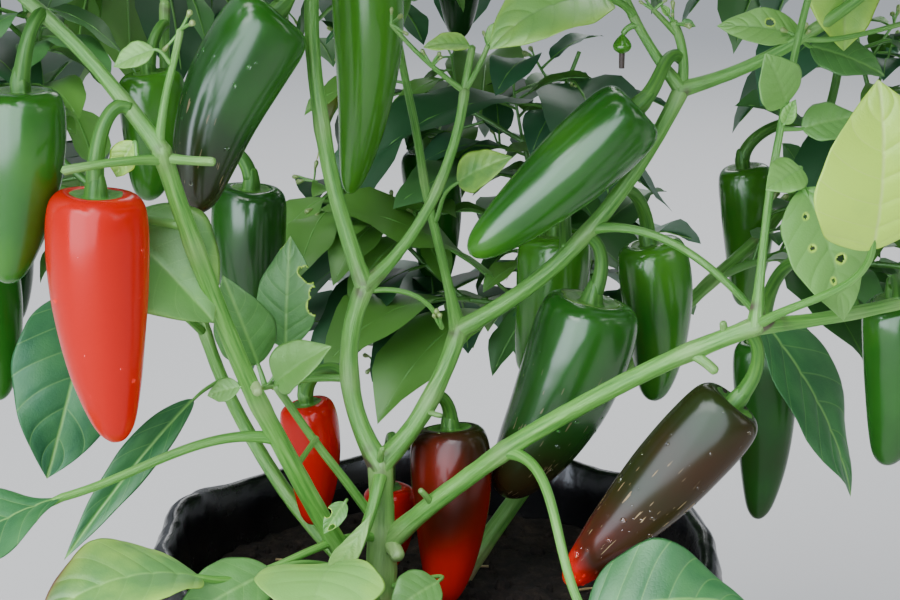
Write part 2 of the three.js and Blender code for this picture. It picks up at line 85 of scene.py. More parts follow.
def add_node(tree, kind, **values):
    """A shader node with some of its sockets or settings given by name."""
    made = tree.nodes.new(kind)
    for key, value in values.items():
        if key in made.inputs:
            made.inputs[key].default_value = value
        else:
            setattr(made, key, value)
    return made


def ramp(tree, share, stops):
    """A colour ramp from (place, colour) pairs."""
    made = add_node(tree, "ShaderNodeValToRGB")
    elements = made.color_ramp.elements
    while len(elements) < len(stops):
        elements.new(0.5)
    for element, (at, colour) in zip(elements, stops):
        element.position = at
        element.color = (*colour, 1)
    tree.links.new(share, made.inputs[0])
    return made.outputs[0]


def plain_material(name, colour, roughness, specular=0.5):
    """A Principled surface with its constants set on the shader's own sockets."""
    made = bpy.data.materials.new(name)
    made.use_nodes = True
    shader = made.node_tree.nodes["Principled BSDF"]
    shader.inputs["Base Color"].default_value = (*colour, 1)
    shader.inputs["Roughness"].default_value = roughness
    shader.inputs["Specular IOR Level"].default_value = specular
    return made


def lamp(name, place, aim, size, power, colour=(1, 1, 1), mirrored_only=False):
    """A square area lamp at a place in metres, turned to face a point. The eye sees only its light,
    and one that is mirrored only shows as a highlight and adds no light of its own."""
    data = bpy.data.lights.new(name, "AREA")
    data.size = size
    data.energy = power
    data.color = colour
    made = bpy.data.objects.new(name, data)
    bpy.context.scene.collection.objects.link(made)
    toward = np.array(aim) - np.array(place)
    flat = math.hypot(toward[0], toward[1])
    made.location = place
    made.rotation_euler = (math.atan2(flat, -toward[2]), 0, math.atan2(-toward[0], toward[1]))
    made.visible_camera = False
    made.visible_diffuse = not mirrored_only


corners = [(FLOOR_HALF * x, FLOOR_HALF * y, 0) for x, y in ((-1, -1), (1, -1), (1, 1), (-1, 1))]
floor_mesh = bpy.data.meshes.new("floor")
floor_mesh.from_pydata(corners, [], [(0, 1, 2, 3)])
floor = bpy.data.objects.new("floor", floor_mesh)
bpy.context.scene.collection.objects.link(floor)
floor_mesh.materials.append(plain_material("pale_floor", FLOOR_COLOUR, 0.9))

sky = bpy.data.worlds.new("sky")
sky.use_nodes = True
glow = sky.node_tree
height_of = add_node(glow, "ShaderNodeSeparateXYZ")
glow.links.new(add_node(glow, "ShaderNodeTexCoord").outputs["Generated"], height_of.inputs[0])
bands = ramp(glow, height_of.outputs["Z"], [(0.0, SKY_LOW), (SKY_FULL_AT, SKY_HIGH)])
glow.links.new(bands, glow.nodes["Background"].inputs["Color"])
glow.nodes["Background"].inputs["Strength"].default_value = SKY_STRENGTH
bpy.context.scene.world = sky
lamp("sky_lamp", (-0.7, -0.9, 1.9), (0, 0, 0.32), 1.5, 54)
lamp("front_lamp", (-0.74, -0.86, 0.5), (0, 0, 0.34), 0.8, 5.5, COOL_WHITE)
lamp("window_lamp", (-0.38, -0.78, 0.74), (0, 0, 0.38), 1.45, 60, WINDOW_WHITE, mirrored_only=True)
lamp("side_lamp", (1.6, -0.5, 1.2), (0, 0, 0.3), 1.0, 11)
lamp("back_lamp", (0.3, 1.6, 1.5), (0, 0, 0.35), 1.4, 21)
print("lamps:", len(bpy.data.lights))

# %% [markdown]
# ## Curves
# The plant's solids are all bent along one kind of curve, so the same curve is written here: a
# parabola from a root to a tip whose middle stands off the straight line by a bow. Reading it by
# share of its length keeps a ring of a stem or a row of a leaf where it belongs.

# %% Curves
CHORDS = 200


def vec(*xyz):
    """Three numbers as an array of floats."""
    return np.array(xyz, float)


def unit(v):
    """Vectors scaled to length one, along the last axis."""
    return v / np.maximum(np.linalg.norm(v, axis=-1, keepdims=True), 1e-12)


def between(ends, share):
    """The number at a share of the way from one end to the other."""
    return ends[0] + (ends[1] - ends[0]) * share


def arc(root, reach, bow):
    """The three control points of the parabola from root to root + reach with that bow."""
    root, reach, bow = np.array(root, float), np.array(reach, float), np.array(bow, float)
    return np.array([root, root + reach / 2 + 2 * bow, root + reach])


def parabola(curve, t):
    """(1-t)^2 root + 2t(1-t) control + t^2 tip."""
    t = np.asarray(t, float)[..., None]
    return (1 - t) ** 2 * curve[0] + 2 * t * (1 - t) * curve[1] + t**2 * curve[2]


def along(curve, share):
    """Points of an arc at shares of its length, from a table of chords."""
    steps = np.linspace(0, 1, CHORDS + 1)
    chords = np.linalg.norm(np.diff(parabola(curve, steps), axis=0), axis=1)
    run = np.concatenate([[0], np.cumsum(chords)])
    return parabola(curve, np.interp(np.asarray(share, float) * run[-1], run, steps))


def length_of(path):
    """The sum of the chords of a path."""
    return float(np.linalg.norm(np.diff(path, axis=0), axis=1).sum())


def full_turn(sides):
    """The angles of a full turn in equal steps, with both ends."""
    return np.linspace(0, 2 * math.pi, sides + 1)


def round_of(angle, side, up):
    """cos a side + sin a up for every angle a, on a new axis before the last."""
    return np.cos(angle)[:, None] * side[..., None, :] + np.sin(angle)[:, None] * up[..., None, :]


def side_of(curve):
    """The direction square to an arc's plane, or to the arc itself where it is straight."""
    reach = curve[2] - curve[0]
    side = np.cross(reach, curve[1] - curve[0])
    if np.linalg.norm(side) > 1e-3 * (reach @ reach):
        return unit(side)
    spare = vec(1, 0, 0) if abs(reach[0]) < abs(reach[2]) else vec(0, 0, 1)
    return unit(np.cross(spare, reach))


def frames(path):
    """Tangents of a path, and two directions square to them. The first is the normal of the plane
    that the path bends in, with its part along each tangent taken out."""
    tangent = unit(np.gradient(path, axis=0))
    normal = np.cross(tangent[0], tangent[-1])
    if np.linalg.norm(normal) < 0.05:
        spare = vec(1, 0, 0) if abs(tangent[0][0]) < 0.7 else vec(0, 0, 1)
        normal = np.cross(tangent[0], spare)
    side = unit(normal - (tangent @ normal)[:, None] * tangent)
    return tangent, side, np.cross(side, tangent)


sample = along(arc((0, 0, 0), (100, 0, 0), (0, 0, 10)), np.linspace(0, 1, 50))
print("an arc of reach 100 and bow 10 is", round(length_of(sample), 1), "mm")

# %% [markdown]
# ## Meshes from grids
# A surface of two parameters is a grid of points. Its faces join neighbours, its UV map is the pair
# of parameters, and merging equal points closes the seam of a tube and the poles of a pod.

# %% Meshes from grids
WELD_GAP = 2e-6
WAVES = 14


def grid_faces(rows, columns):
    """Quads between neighbours in a grid of points that is stored row by row."""
    first = (np.arange(rows - 1)[:, None] * columns + np.arange(columns - 1)).ravel()
    return np.stack([first, first + 1, first + columns + 1, first + columns], axis=1)


def raw_mesh(name, points, faces, uv=None, fields=None):
    """A mesh from arrays of points in mm and quads, with an optional UV map and named fields."""
    mesh = bpy.data.meshes.new(name)
    mesh.vertices.add(len(points))
    mesh.vertices.foreach_set("co", (points * MM).astype(np.float32).ravel())
    mesh.loops.add(faces.size)
    mesh.loops.foreach_set("vertex_index", faces.astype(np.int32).ravel())
    mesh.polygons.add(len(faces))
    starts = np.arange(0, faces.size, faces.shape[1], dtype=np.int32)
    mesh.polygons.foreach_set("loop_start", starts)
    mesh.update(calc_edges=True)
    if uv is not None:
        layer = mesh.uv_layers.new(name="UVMap")
        layer.data.foreach_set("uv", uv[faces].astype(np.float32).ravel())
    for field, values in (fields or {}).items():
        layer = mesh.attributes.new(field, "FLOAT", "POINT")
        layer.data.foreach_set("value", np.asarray(values, np.float32).ravel())
    mesh.polygons.foreach_set("use_smooth", np.ones(len(faces), bool))
    return mesh


def weld(mesh):
    """Merges equal points, which closes seams and poles, and turns the faces outwards."""
    work = bmesh.new()
    work.from_mesh(mesh)
    bmesh.ops.remove_doubles(work, verts=work.verts, dist=WELD_GAP)
    bmesh.ops.recalc_face_normals(work, faces=work.faces)
    work.to_mesh(mesh)
    work.free()
    return mesh


def place(mesh, materials, nodes=(), slot=None):
    """An object for a mesh that rides on the plant's one body, and stands for CAD nodes."""
    made = bpy.data.objects.new(mesh.name, mesh)
    bpy.context.scene.collection.objects.link(made)
    for finish in materials:
        mesh.materials.append(finish)
    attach(made, "root")
    if nodes:
        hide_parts(*nodes)


def surface(name, points, material, nodes=(), slot=None, uv=None, fields=None):
    """One closed piece from a grid of points, welded."""
    rows, columns = points.shape[:2]
    if uv is None:
        u, v = np.meshgrid(np.linspace(0, 1, columns), np.linspace(0, 1, rows))
        uv = np.stack([u, v], axis=-1)
    flat = {key: value.reshape(-1) for key, value in (fields or {}).items()}
    mesh = raw_mesh(name, points.reshape(-1, 3), grid_faces(rows, columns), uv.reshape(-1, 2), flat)
    place(weld(mesh), [material], nodes, slot)


def ripples(points, size, seed):
    """Smooth noise from -1 to 1: the mean of sine waves with seeded directions and phases."""
    draw = np.random.default_rng(seed)
    way = unit(draw.normal(size=(WAVES, 3))) * draw.uniform(0.6, 1.6, (WAVES, 1)) * 2 * math.pi / size
    phase = draw.uniform(0, 2 * math.pi, WAVES)
    return np.sin(points @ way.T + phase).mean(axis=-1) * 2.0


def wander(path, size, seed):
    """A seeded push in x, y and z at each point of a path, from ripples of one size."""
    return np.stack([ripples(path, size, seed + k) for k in range(3)], axis=1)


print("a grid of 3 by 4 points has", len(grid_faces(3, 4)), "faces")

# %% [markdown]
# ## Stems
# The trunk forks low down and each bough forks again, so the table gives every limb's parent, the
# share of the parent where it starts, its reach, its bow and its two radii. `knots` are the shares
# where a leaf has grown: a chilli stem is swollen and paler there. `blush` is how purple its forks
# are, and `foot` is how high its corky base climbs above the soil. `pale` creams the whole limb: on
# the trunk this is painted light, which lifts the shade the trunk stands in.

# %% Stem table
SOIL_LEVEL = 190


def table(columns, rows):
    """Rows of values as dictionaries under the column names. A row may end in more named values."""
    made = {}
    for name, values in rows.items():
        more = values[-1] if isinstance(values[-1], dict) else {}
        made[name] = dict(zip(columns.split(), values)) | more
    return made


LIMBS = table("on at reach bow radii knots", {
    "trunk": (
        None, 0, (1, 0, 66), (1, 0, 0), (6.8, 3.9), (0.45, 0.62, 1),
        # pale here is painted light: the trunk is creamed all along to lift the shade it stands in
        dict(root=(-19, -21, 184), foot=12.0, pale=0.3),
    ),
    "left_bough": ("trunk", 0.17, (-61, -65, 178), (-6, -4, 0), (3.9, 2.7), (0.09, 0.52, 0.83, 1)),
    "left_bough_top": ("left_bough", 1, (-48, 10, 51), (2, 0, 2), (2.5, 1.9), (0.24, 0.75, 1)),
    "mid_left_bough": ("trunk", 1, (-5, 9, 61), (-8, 0, 0), (3.3, 3), (0.5, 1), dict(blush=0.5)),
    "mid_left_rise": ("mid_left_bough", 1, (-13, 27, 144), (-10, 0, 0), (3, 2.3), (0.38, 0.82, 1)),
    "mid_left_spur": ("mid_left_bough", 1, (34, 24, 63), (6, 0, -4), (2.2, 1.6), (0.55, 1)),
    "mid_right_bough": ("trunk", 1, (27, 21, 42), (3, 0, -2), (3.3, 3), (0.52, 1), dict(blush=0.5)),
    "mid_right_reach": ("mid_right_bough", 1, (76, 10, 83), (6, 0, -8), (3, 2.6), (0.48, 0.98)),
    "mid_right_arm": (
        "mid_right_reach", 1, (85, -10, 65), (5, 0, -9), (2.4, 1.8), (0.45, 1),
        dict(blush=0.5),
    ),
    "mid_right_fork": ("mid_right_reach", 1, (-27, 4, 65), (-6, 0, -2), (1.8, 1.4), (0.42, 1)),
    "right_bough": (
        "trunk", 0.54, (119, -49, 95), (-3, 0, 7), (3.5, 2.8), (0.06, 0.38, 0.86, 1),
        dict(blush=0.7),
    ),
    "right_bough_outer": (
        "right_bough", 1, (104, 25, 20), (0, 0, -5), (2.4, 1.7), (0.3, 0.44, 0.72, 1),
        dict(blush=1.0),
    ),
    "right_bough_rise": (
        "right_bough", 1, (17, 25, 105), (-3, 0, 0), (1.5, 1.1), (0.44, 1),
        dict(blush=0.8),
    ),
    "back_stem": (
        None, 0, (123, 86, 116), (-7, -2, 4), (4, 2.4), (0.3, 0.62, 0.86, 1),
        dict(root=(5, 12, 184), foot=14.0),
    ),
    "back_stem_top": ("back_stem", 1, (35, 32, 100), (10, 8, -10), (2.2, 1.6), (0.45, 1)),
    "back_left_bough": ("trunk", 0.27, (-85, 120, 190), (-24, 14, -28), (3.4, 1.9), (0.5, 0.75, 1)),
    "mid_back_spur": ("mid_right_bough", 1, (-23, 75, 93), (0, 0, -3), (1.9, 1.4), (0.5, 1)),
})
limb_curves = {}
for name, limb in LIMBS.items():
    foot = along(limb_curves[limb["on"]], limb["at"]) if limb["on"] else vec(*limb["root"])
    limb_curves[name] = arc(foot, limb["reach"], limb["bow"])
tallest = max(curve[2][2] for curve in limb_curves.values())
print("limbs:", len(LIMBS), "tallest tip at", round(tallest), "mm")

# %% [markdown]
# ## Stem colour
# A young chilli stem is light green with fine lengthwise stripes of darker and paler tissue, which
# follow its ribs. It turns cream where it is swollen and has a purple blush in the forks. The pattern
# has to follow the stem, so it reads the UV map: u runs round the stem and v runs along it.

# %% Stem colour
STEM_GREENS = [(0.32, (0.065, 0.26, 0.03)), (0.5, (0.145, 0.42, 0.06)), (0.7, (0.25, 0.57, 0.125))]
STEM_CREAM, STEM_PURPLE, STEM_CORK = (0.36, 0.55, 0.2), (0.1, 0.032, 0.055), (0.3, 0.24, 0.13)


def maths(tree, operation, first, second=0.0):
    """One step of arithmetic on sockets or numbers."""
    made = add_node(tree, "ShaderNodeMath", operation=operation)
    for place_in, value in zip(made.inputs, (first, second)):
        if isinstance(value, (int, float)):
            place_in.default_value = value
        else:
            tree.links.new(value, place_in)
    return made.outputs[0]


def blend_colours(tree, share, first, second):
    """A mix of two colours, each a socket or three numbers, by a socket's share."""
    made = add_node(tree, "ShaderNodeMix", data_type="RGBA")
    tree.links.new(share, made.inputs[0])
    for place_in, value in zip((made.inputs[6], made.inputs[7]), (first, second)):
        if isinstance(value, tuple):
            place_in.default_value = (*value, 1)
        else:
            tree.links.new(value, place_in)
    return made.outputs[2]


def field(tree, name):
    """The value that a mesh holds for each point under this name."""
    return add_node(tree, "ShaderNodeAttribute", attribute_name=name).outputs["Fac"]


def uv_pattern(tree, stretch, **values):
    """A noise texture read from the UV map, stretched by (u, v, 1)."""
    mapping = add_node(tree, "ShaderNodeMapping")
    mapping.inputs["Scale"].default_value = stretch
    tree.links.new(add_node(tree, "ShaderNodeTexCoord").outputs["UV"], mapping.inputs["Vector"])
    made = add_node(tree, "ShaderNodeTexNoise", Scale=1.0, **values)
    tree.links.new(mapping.outputs[0], made.inputs["Vector"])
    return made.outputs["Fac"]


def bump(tree, height, strength, distance):
    """A bump of a height socket, for the shader's normal."""
    made = add_node(tree, "ShaderNodeBump", Strength=strength, Distance=distance)
    tree.links.new(height, made.inputs["Height"])
    return made.outputs["Normal"]


def finish_of(name, roughness, specular=0.5):
    """A material that waits for its pattern of colours, and its node tree."""
    made = plain_material(name, (0.5, 0.5, 0.5), roughness, specular)
    return made, made.node_tree


def feed(tree, colour, normal, roughness=None):
    """Links a colour, a normal and perhaps a roughness to a tree's shader."""
    shader = tree.nodes["Principled BSDF"]
    tree.links.new(colour, shader.inputs["Base Color"])
    tree.links.new(normal, shader.inputs["Normal"])
    if roughness is not None:
        tree.links.new(roughness, shader.inputs["Roughness"])


stem_green, tree = finish_of("stem_green", 0.42, 0.36)
stripes = uv_pattern(tree, (16, 1.2, 1), Detail=4.0, Roughness=0.6)
fibres = uv_pattern(tree, (60, 5, 1), Detail=2.0)
striped = ramp(tree, stripes, STEM_GREENS)
# cream where the stem swells, and all along the trunk as painted light
creamed = blend_colours(tree, maths(tree, "MULTIPLY", field(tree, "knot"), 0.4), striped, STEM_CREAM)
blushed = blend_colours(tree, field(tree, "blush"), creamed, STEM_PURPLE)
relief = maths(tree, "ADD", stripes, maths(tree, "MULTIPLY", fibres, 0.5))
feed(tree, blend_colours(tree, field(tree, "cork"), blushed, STEM_CORK), bump(tree, relief, 0.5, 0.0008))
print("made", stem_green.name)

# %% [markdown]
# ## Stem surfaces
# Each limb is a tube whose radius falls from root to tip. Five low ribs run along it, it swells at
# every knot and at its own root, where it joins its parent, and both ends are rounded off inside the
# neighbour they grow from, so no cut shows at a fork.

# %% Stem surfaces
STEM_STEP = 0.9
KNOT_SWELL, KNOT_LENGTH, TIP_OVER = 0.11, 5.5, 1.11
ROOT_SWELL, ROOT_LENGTH = 0.22, 5
WANDER_SIZE, LUMP_SIZE, PATCH_SIZE = 60, 9, 7


def tube(path, radius, sides):
    """Points of a tube: each path point plus radius (cos a, sin a) across the path."""
    _, side, up = frames(path)
    return path[:, None] + round_of(full_turn(sides), side, up) * radius[..., None]


def rounded_ends(run, total, root, tip):
    """A factor that falls to nothing at both ends as a quarter circle does."""
    near = np.clip(run / root, 0, 1)
    far = np.clip((total - run) / tip, 0, 1)
    return np.sqrt(1 - (1 - near) ** 2) * np.sqrt(1 - (1 - far) ** 2)


def stem_uv(run, sides):
    """u from 0 to 1 round the stem, and v in steps of 30 mm along it."""
    u, v = np.meshgrid(np.linspace(0, 1, sides + 1), run / 30)
    return np.stack([u, v], axis=-1)


def ribbed_stem(
    name, curve, radii, knots, seed, nodes=(), sides=30, blush=0.0, foot=0.0, parent=0.0, pale=0.0
):
    """One limb as a closed ribbed tube, with fields for its knots, blush and corky foot. A limb that
    carries on from a parent's tip starts as thick as that tip."""
    total = length_of(along(curve, np.linspace(0, 1, 60)))
    over, back = TIP_OVER * radii[1], TIP_OVER * parent
    run = np.linspace(-back, total + over, max(24, int(total / STEM_STEP)))
    share = np.clip(run / total, 0, 1)
    past = np.clip(run - total, 0, None)[:, None] * unit(curve[2] - curve[1])
    before = np.clip(run, None, 0)[:, None] * unit(curve[1] - curve[0])
    path = along(curve, share) + past + before
    push = np.sin(math.pi * share)[:, None] * 0.5 * wander(path, WANDER_SIZE, seed)

    knot = sum(np.exp(-(((share - k) * total) / KNOT_LENGTH) ** 2) for k in knots)
    collar = np.exp(-np.clip(run, 0, None) / ROOT_LENGTH)
    swell = 1 + KNOT_SWELL * knot + ROOT_SWELL * collar * (parent == 0)
    radius = between(radii, np.sqrt(share)) * swell
    radius = radius + np.clip(back - radii[0], 0, None) * np.exp(-((np.clip(run, 0, None) / 8) ** 1.5))

    angle = full_turn(sides)
    draw = np.random.default_rng(seed)
    turn = draw.uniform(0, 6.28) + share * draw.uniform(-1.2, 1.2)
    rib = np.abs(np.cos(2.5 * (angle[None] + turn[:, None]))) ** 0.7
    circle = np.stack([np.cos(angle), np.sin(angle), 0 * angle], 1)
    lump = ripples(path[:, None] + 3 * circle[None], LUMP_SIZE, seed + 5)
    ends = rounded_ends(run + back, run[-1] + back, back or 1.5, over)
    points = tube(path + push, radius[:, None] * (0.95 + 0.085 * rib + 0.03 * lump) * ends[:, None], sides)

    ring = (1 in knots) * np.exp(-(((run - total + 1) / 3) ** 2))
    ring = ring + (parent > 0) * np.exp(-(((run - 3.5) / 4.5) ** 2))
    patch = np.clip(ripples(points, PATCH_SIZE, seed + 9) * 1.2 + 0.1, 0, 1)
    above_soil = points[..., 2] - SOIL_LEVEL
    fields = {
        # pale creams the whole stem: the real cream of the stubs, and painted light on the trunk
        "knot": np.repeat(np.clip(0.8 * knot + 0.5 * collar + 2.5 * pale, 0, 2.5)[:, None], sides + 1, 1),
        "blush": np.clip(ring[:, None] * patch * blush * 2.2, 0, 0.85),
        "cork": np.clip((foot - above_soil) / max(foot, 1) + 0.35 * patch, 0, 1) * (foot > 0),
    }
    surface(name, points, stem_green, nodes, "stem", stem_uv(run, sides), fields)


for seed, (name, limb) in enumerate(LIMBS.items()):
    ribbed_stem(
        "stem_" + name, limb_curves[name], limb["radii"], limb["knots"], 40 + seed, [name],
        blush=limb.get("blush", 0.3), foot=limb.get("foot", 0.0), pale=limb.get("pale", 0.0),
        parent=LIMBS[limb["on"]]["radii"][1] if limb["at"] == 1 else 0.0,
    )
print("stems made:", len(LIMBS))

# %% [markdown]
# ## Pods
# A pod of this kind is a blunt cone: broad shallow shoulders with a dimple round the stalk, straight
# sides, and a rounded tip. Its outline is turned round a bent axis. Two or three weak lobes, a slow
# ripple and a few dents keep it from looking machined. `ripe` is how ripe its shoulders and its tip
# are, from green at 0 to red at 1, and `blunt` is how full the tip is.

# %% Pod table
PODS = table("on at stalk arch hang bend width ripe blunt", {
    "left_green": (
        "left_bough_top", 0.75, (-7, -4, -22), (0, -3, 3),
        (-8, 0, -59), (2, 0, 0), 25, (0.12, 0.2), 0.5,
    ),
    "left_red": (
        "left_bough_top", 0.22, (-10, -7, -24), (-5, -2, 9),
        (3, 0, -78), (-2, 0, 0), 30, (0.97, 1.0), 0.35, dict(dull=True),
    ),
    "upper_dark": (
        "mid_left_rise", 0.82, (-11, -18, -25), (-3, -2, 6),
        (-28, -10, -66), (-5, 0, 3), 30, (0.15, 0.5), 0.5, dict(cork=0.8, cork_from=0.5),
    ),
    "upper_back": (
        "back_left_bough", 0.97, (-5, -12, -16), (0, -4, 4),
        (-3, 0, -50), (2, 0, 0), 25, (0.05, 0.12), 0.5,
    ),
    "hanging_long": (
        "mid_left_rise", 0.95, (13, 16, -26), (4, 2, 6),
        (-6, 4, -89), (4, 0, 0), 25, (0.0, 0.05), 0.1,
    ),
    "centre_green": (
        "mid_right_reach", 0.99, (-16, -16, -2), (-1, -2, 5),
        (-56, -8, -49), (-3, 0, -4), 28, (0.17, 0.08), 0.35, dict(lift=(1.2, 3, 11)),
    ),
    "left_back": (
        "back_left_bough", 0.75, (34, -35, 2), (0, 0, 9),
        (2, 0, -63), (-2, 0, 0), 27, (0.25, 0.3), 0.5,
    ),
    "small_red": (
        "mid_left_bough", 0.5, (-16, 15, -14), (-2, 2, 7),
        (1, 0, -46), (2, 0, 0), 20, (0.96, 1.0), 0.4, dict(dull=True),
    ),
    "foot_red": (
        "mid_right_bough", 0.12, (-3, 32, -26), (0, 3, 7),
        (-1, 0, -32), (1, 0, 0), 19, (0.96, 1.0), 0.4, dict(dull=True),
    ),
    "low_turning": (
        "mid_right_bough", 0.52, (7, 8, -13), (3, 0, 6),
        (-3, -9, -64), (2, 0, 0), 28, (0.6, 0.97), 0.4, dict(dull=True, patchy=0.16),
    ),
    "middle_dark": (
        "mid_right_reach", 0.48, (3, 2, -24), (2, 0, 2),
        (-32, -2, -72), (4, 0, -3), 36, (0.15, 0.55), 0.6, dict(cork=0.45, cork_from=0.3),
    ),
    "middle_back": (
        "mid_right_reach", 0.4, (-1, 52, -6), (0, 0, 10),
        (-10, 0, -56), (3, 0, 0), 27, (0.05, 0.1), 0.5,
    ),
    "middle_far": (
        "mid_right_reach", 0.6, (17, 36, -23), (0, 4, 8),
        (3, 0, -61), (3, 0, 0), 26, (0.06, 0.16), 0.4,
    ),
    "right_turning": (
        "right_bough", 0.98, (-2, 6, -26), (4, 0, -1),
        (-53, 2, -64), (-3, 0, -4), 26, (0.5, 0.62), 0.3,
        dict(cork=1.0, cork_from=0.3, tip_red=True, dull=True),
    ),
    # right_shadow hangs in shadow: its near-black green and its dull skin are partly painted shade
    "right_shadow": (
        "right_bough_outer", 0.3, (-15, 82, -34), (0, 0, 14),
        (1, 2, -70), (2, 0, 0), 22, (0.29, 0.33), 0.4, dict(dull=True),
    ),
    "right_edge": (
        "right_bough_outer", 0.44, (3, 20, -4), (0, 2, 8),
        (0, 0, -58), (3, 0, 0), 25, (0.1, 0.2), 0.4,
    ),
    "right_low": (
        "right_bough_outer", 0.72, (2, 46, -62), (4, 10, 6),
        (1, 0, -38), (2, 0, 0), 24, (0.08, 0.15), 0.5,
    ),
    "far_back": (
        "back_stem_top", 0.45, (-32, -8, -12), (0, 0, 10),
        (2, 0, -58), (2, 0, 0), 22, (0.05, 0.1), 0.4,
    ),
})
longest = max(np.linalg.norm(pod["hang"]) for pod in PODS.values())
print("pods:", len(PODS), "longest", round(longest), "mm")

# %% [markdown]
# ## Pod skin
# The skin is smooth and waxy: a glossy surface that mirrors little where it faces the eye. Ripening
# runs from green through almost black and brown to red, and each point of a pod holds how ripe it is.
# Some pods show corking: short pale dashes along the pod where the skin has stretched. Pods in the
# shade and the ripe ones wear a duller skin, which mirrors less of the window lamp.

# %% Pod skin
POD_ROUGHNESS, CORK_ROUGHER, MOTTLING = 0.2, 0.35, 0.14
POD_CORK, CAP_DRY = (0.36, 0.25, 0.12), (0.34, 0.4, 0.12)
CAP_GREENS = [(0.35, (0.04, 0.17, 0.018)), (0.65, (0.11, 0.31, 0.04))]
RIPENING = [
    (0.0, (0.08, 0.31, 0.02)), (0.14, (0.03, 0.17, 0.016)), (0.3, (0.014, 0.075, 0.01)),
    (0.46, (0.022, 0.028, 0.007)), (0.6, (0.055, 0.016, 0.007)),
    (0.78, (0.36, 0.012, 0.004)), (0.95, (0.74, 0.01, 0.003)),
]


def pod_finish(name, mirroring):
    """A pod skin. Its colour follows how ripe each point is, and mirroring sets how much it shines."""
    made, tree = finish_of(name, POD_ROUGHNESS, mirroring)
    mottle = uv_pattern(tree, (5, 4, 1), Detail=3.0)
    uneven = maths(tree, "MULTIPLY", maths(tree, "SUBTRACT", mottle, 0.5), MOTTLING)
    skin = ramp(tree, maths(tree, "ADD", field(tree, "ripe"), uneven), RIPENING)
    dashes = uv_pattern(tree, (86, 13, 1), Detail=1.0)
    mask = maths(tree, "MULTIPLY", maths(tree, "GREATER_THAN", dashes, 0.7), field(tree, "cork"))
    rough = maths(tree, "ADD", maths(tree, "MULTIPLY", mask, CORK_ROUGHER), POD_ROUGHNESS)
    feed(tree, blend_colours(tree, mask, skin, POD_CORK), bump(tree, mask, 0.2, 0.0004), rough)
    return made


pod_skin = pod_finish("pod_skin", 0.5)
dull_pod_skin = pod_finish("dull_pod_skin", 0.22)

cap_green, tree = finish_of("cap_green", 0.48, 0.3)
cap_veins = uv_pattern(tree, (14, 1.5, 1), Detail=3.0)
dried = blend_colours(tree, field(tree, "dry"), ramp(tree, cap_veins, CAP_GREENS), CAP_DRY)
feed(tree, dried, bump(tree, cap_veins, 0.4, 0.0008))
print("made", pod_skin.name, dull_pod_skin.name, "and", cap_green.name)

# %% [markdown]
# ## Pod and stalk surfaces
# The outline starts at the bottom of the dimple, climbs over the shoulder and runs to the tip. The
# stalk is a tube that leaves the bough square to it and turns to meet the pod head on. The cap is a
# second turned outline: a neck that flares from the stalk, then a thin toothed plate in the dimple.

# %% Pod and stalk surfaces
POD_OUTLINE = np.array([
    (0.055, 0.0), (0.035, 0.22), (0.012, 0.42), (0.0, 0.6), (0.012, 0.78), (0.05, 0.92),
    (0.13, 0.99), (0.26, 1.0), (0.42, 0.955), (0.58, 0.86), (0.73, 0.735), (0.86, 0.57),
    (0.94, 0.41), (0.985, 0.21), (1.0, 0.0),
])
WIDTH_WEIGHT = 0.35
STALK_ROWS, STALK_END = 40, 1.0
PATCHES, PATCH_LENGTH = 0.08, 40
RED_TIP_FROM, RED_TIP_RISE, CORK_RISE = 0.78, 0.14, 0.12


def smooth_outline(points, count):
    """An outline resampled at even lengths on a curve through its points, which is a Catmull-Rom
    spline: each stretch is a cubic whose slopes come from the points on either side. The second
    number of a point counts for less in the lengths."""
    ends = np.vstack([2 * points[0] - points[1], points, 2 * points[-1] - points[-2]])
    fine = np.linspace(0, len(points) - 1 - 1e-9, 400)
    k, t = fine.astype(int), (fine % 1)[:, None]
    a, b, c, d = ends[k], ends[k + 1], ends[k + 2], ends[k + 3]
    square, cube = 2 * a - 5 * b + 4 * c - d, 3 * b - a - 3 * c + d
    curve = 0.5 * (2 * b + (c - a) * t + square * t**2 + cube * t**3)
    chords = np.linalg.norm(np.diff(curve, axis=0) * (1, WIDTH_WEIGHT), axis=1)
    run = np.concatenate([[0], np.cumsum(chords)])
    even = np.linspace(0, run[-1], count)
    made = np.stack([np.interp(even, run, curve[:, 0]), np.interp(even, run, curve[:, 1])], axis=1)
    made[[0, -1], 1] = 0
    return made


def pod_points(curve, width, blunt, seed, rows=84, sides=64):
    """Points of a pod, and the share of its length at each row. The radius is the outline times
    half the width, times one plus lobes that fade towards the tip and a slow ripple."""
    outline = smooth_outline(POD_OUTLINE, rows)
    share, radius = outline[:, 0], np.clip(outline[:, 1], 0, None)
    taper = 1 - (0.5 - blunt) * 0.55 * np.clip((share - 0.35) / 0.65, 0, 1) ** 1.3
    path = along(curve, np.clip(share, 0, 1))
    _, side, up = frames(along(curve, np.linspace(0, 1, 60)))
    pick = np.clip((share * 59).astype(int), 0, 59)
    side, up = side[pick], up[pick]
    angle = full_turn(sides)
    p, q = np.random.default_rng(seed).uniform(0, 6.28, 2)
    lobes = 0.045 * np.cos(3 * angle + p) + 0.026 * np.cos(2 * angle + q)
    fade = (1 - share) ** 0.8 * np.clip(radius * 1.4, 0, 1)
    spot = np.empty((rows, sides + 1, 3))
    spot[..., 0], spot[..., 1], spot[..., 2] = np.cos(angle), np.sin(angle), share[:, None] * 5
    dents = 0.02 * ripples(spot, 3.2, seed) + 0.003 * ripples(spot, 0.9, seed + 1)
    swell = 1 + lobes[None] * fade[:, None] + dents * np.clip(radius * 2, 0, 1)[:, None]
    reach = (radius * taper * width / 2)[:, None] * swell
    return path[:, None] + round_of(angle, side, up) * reach[..., None], share


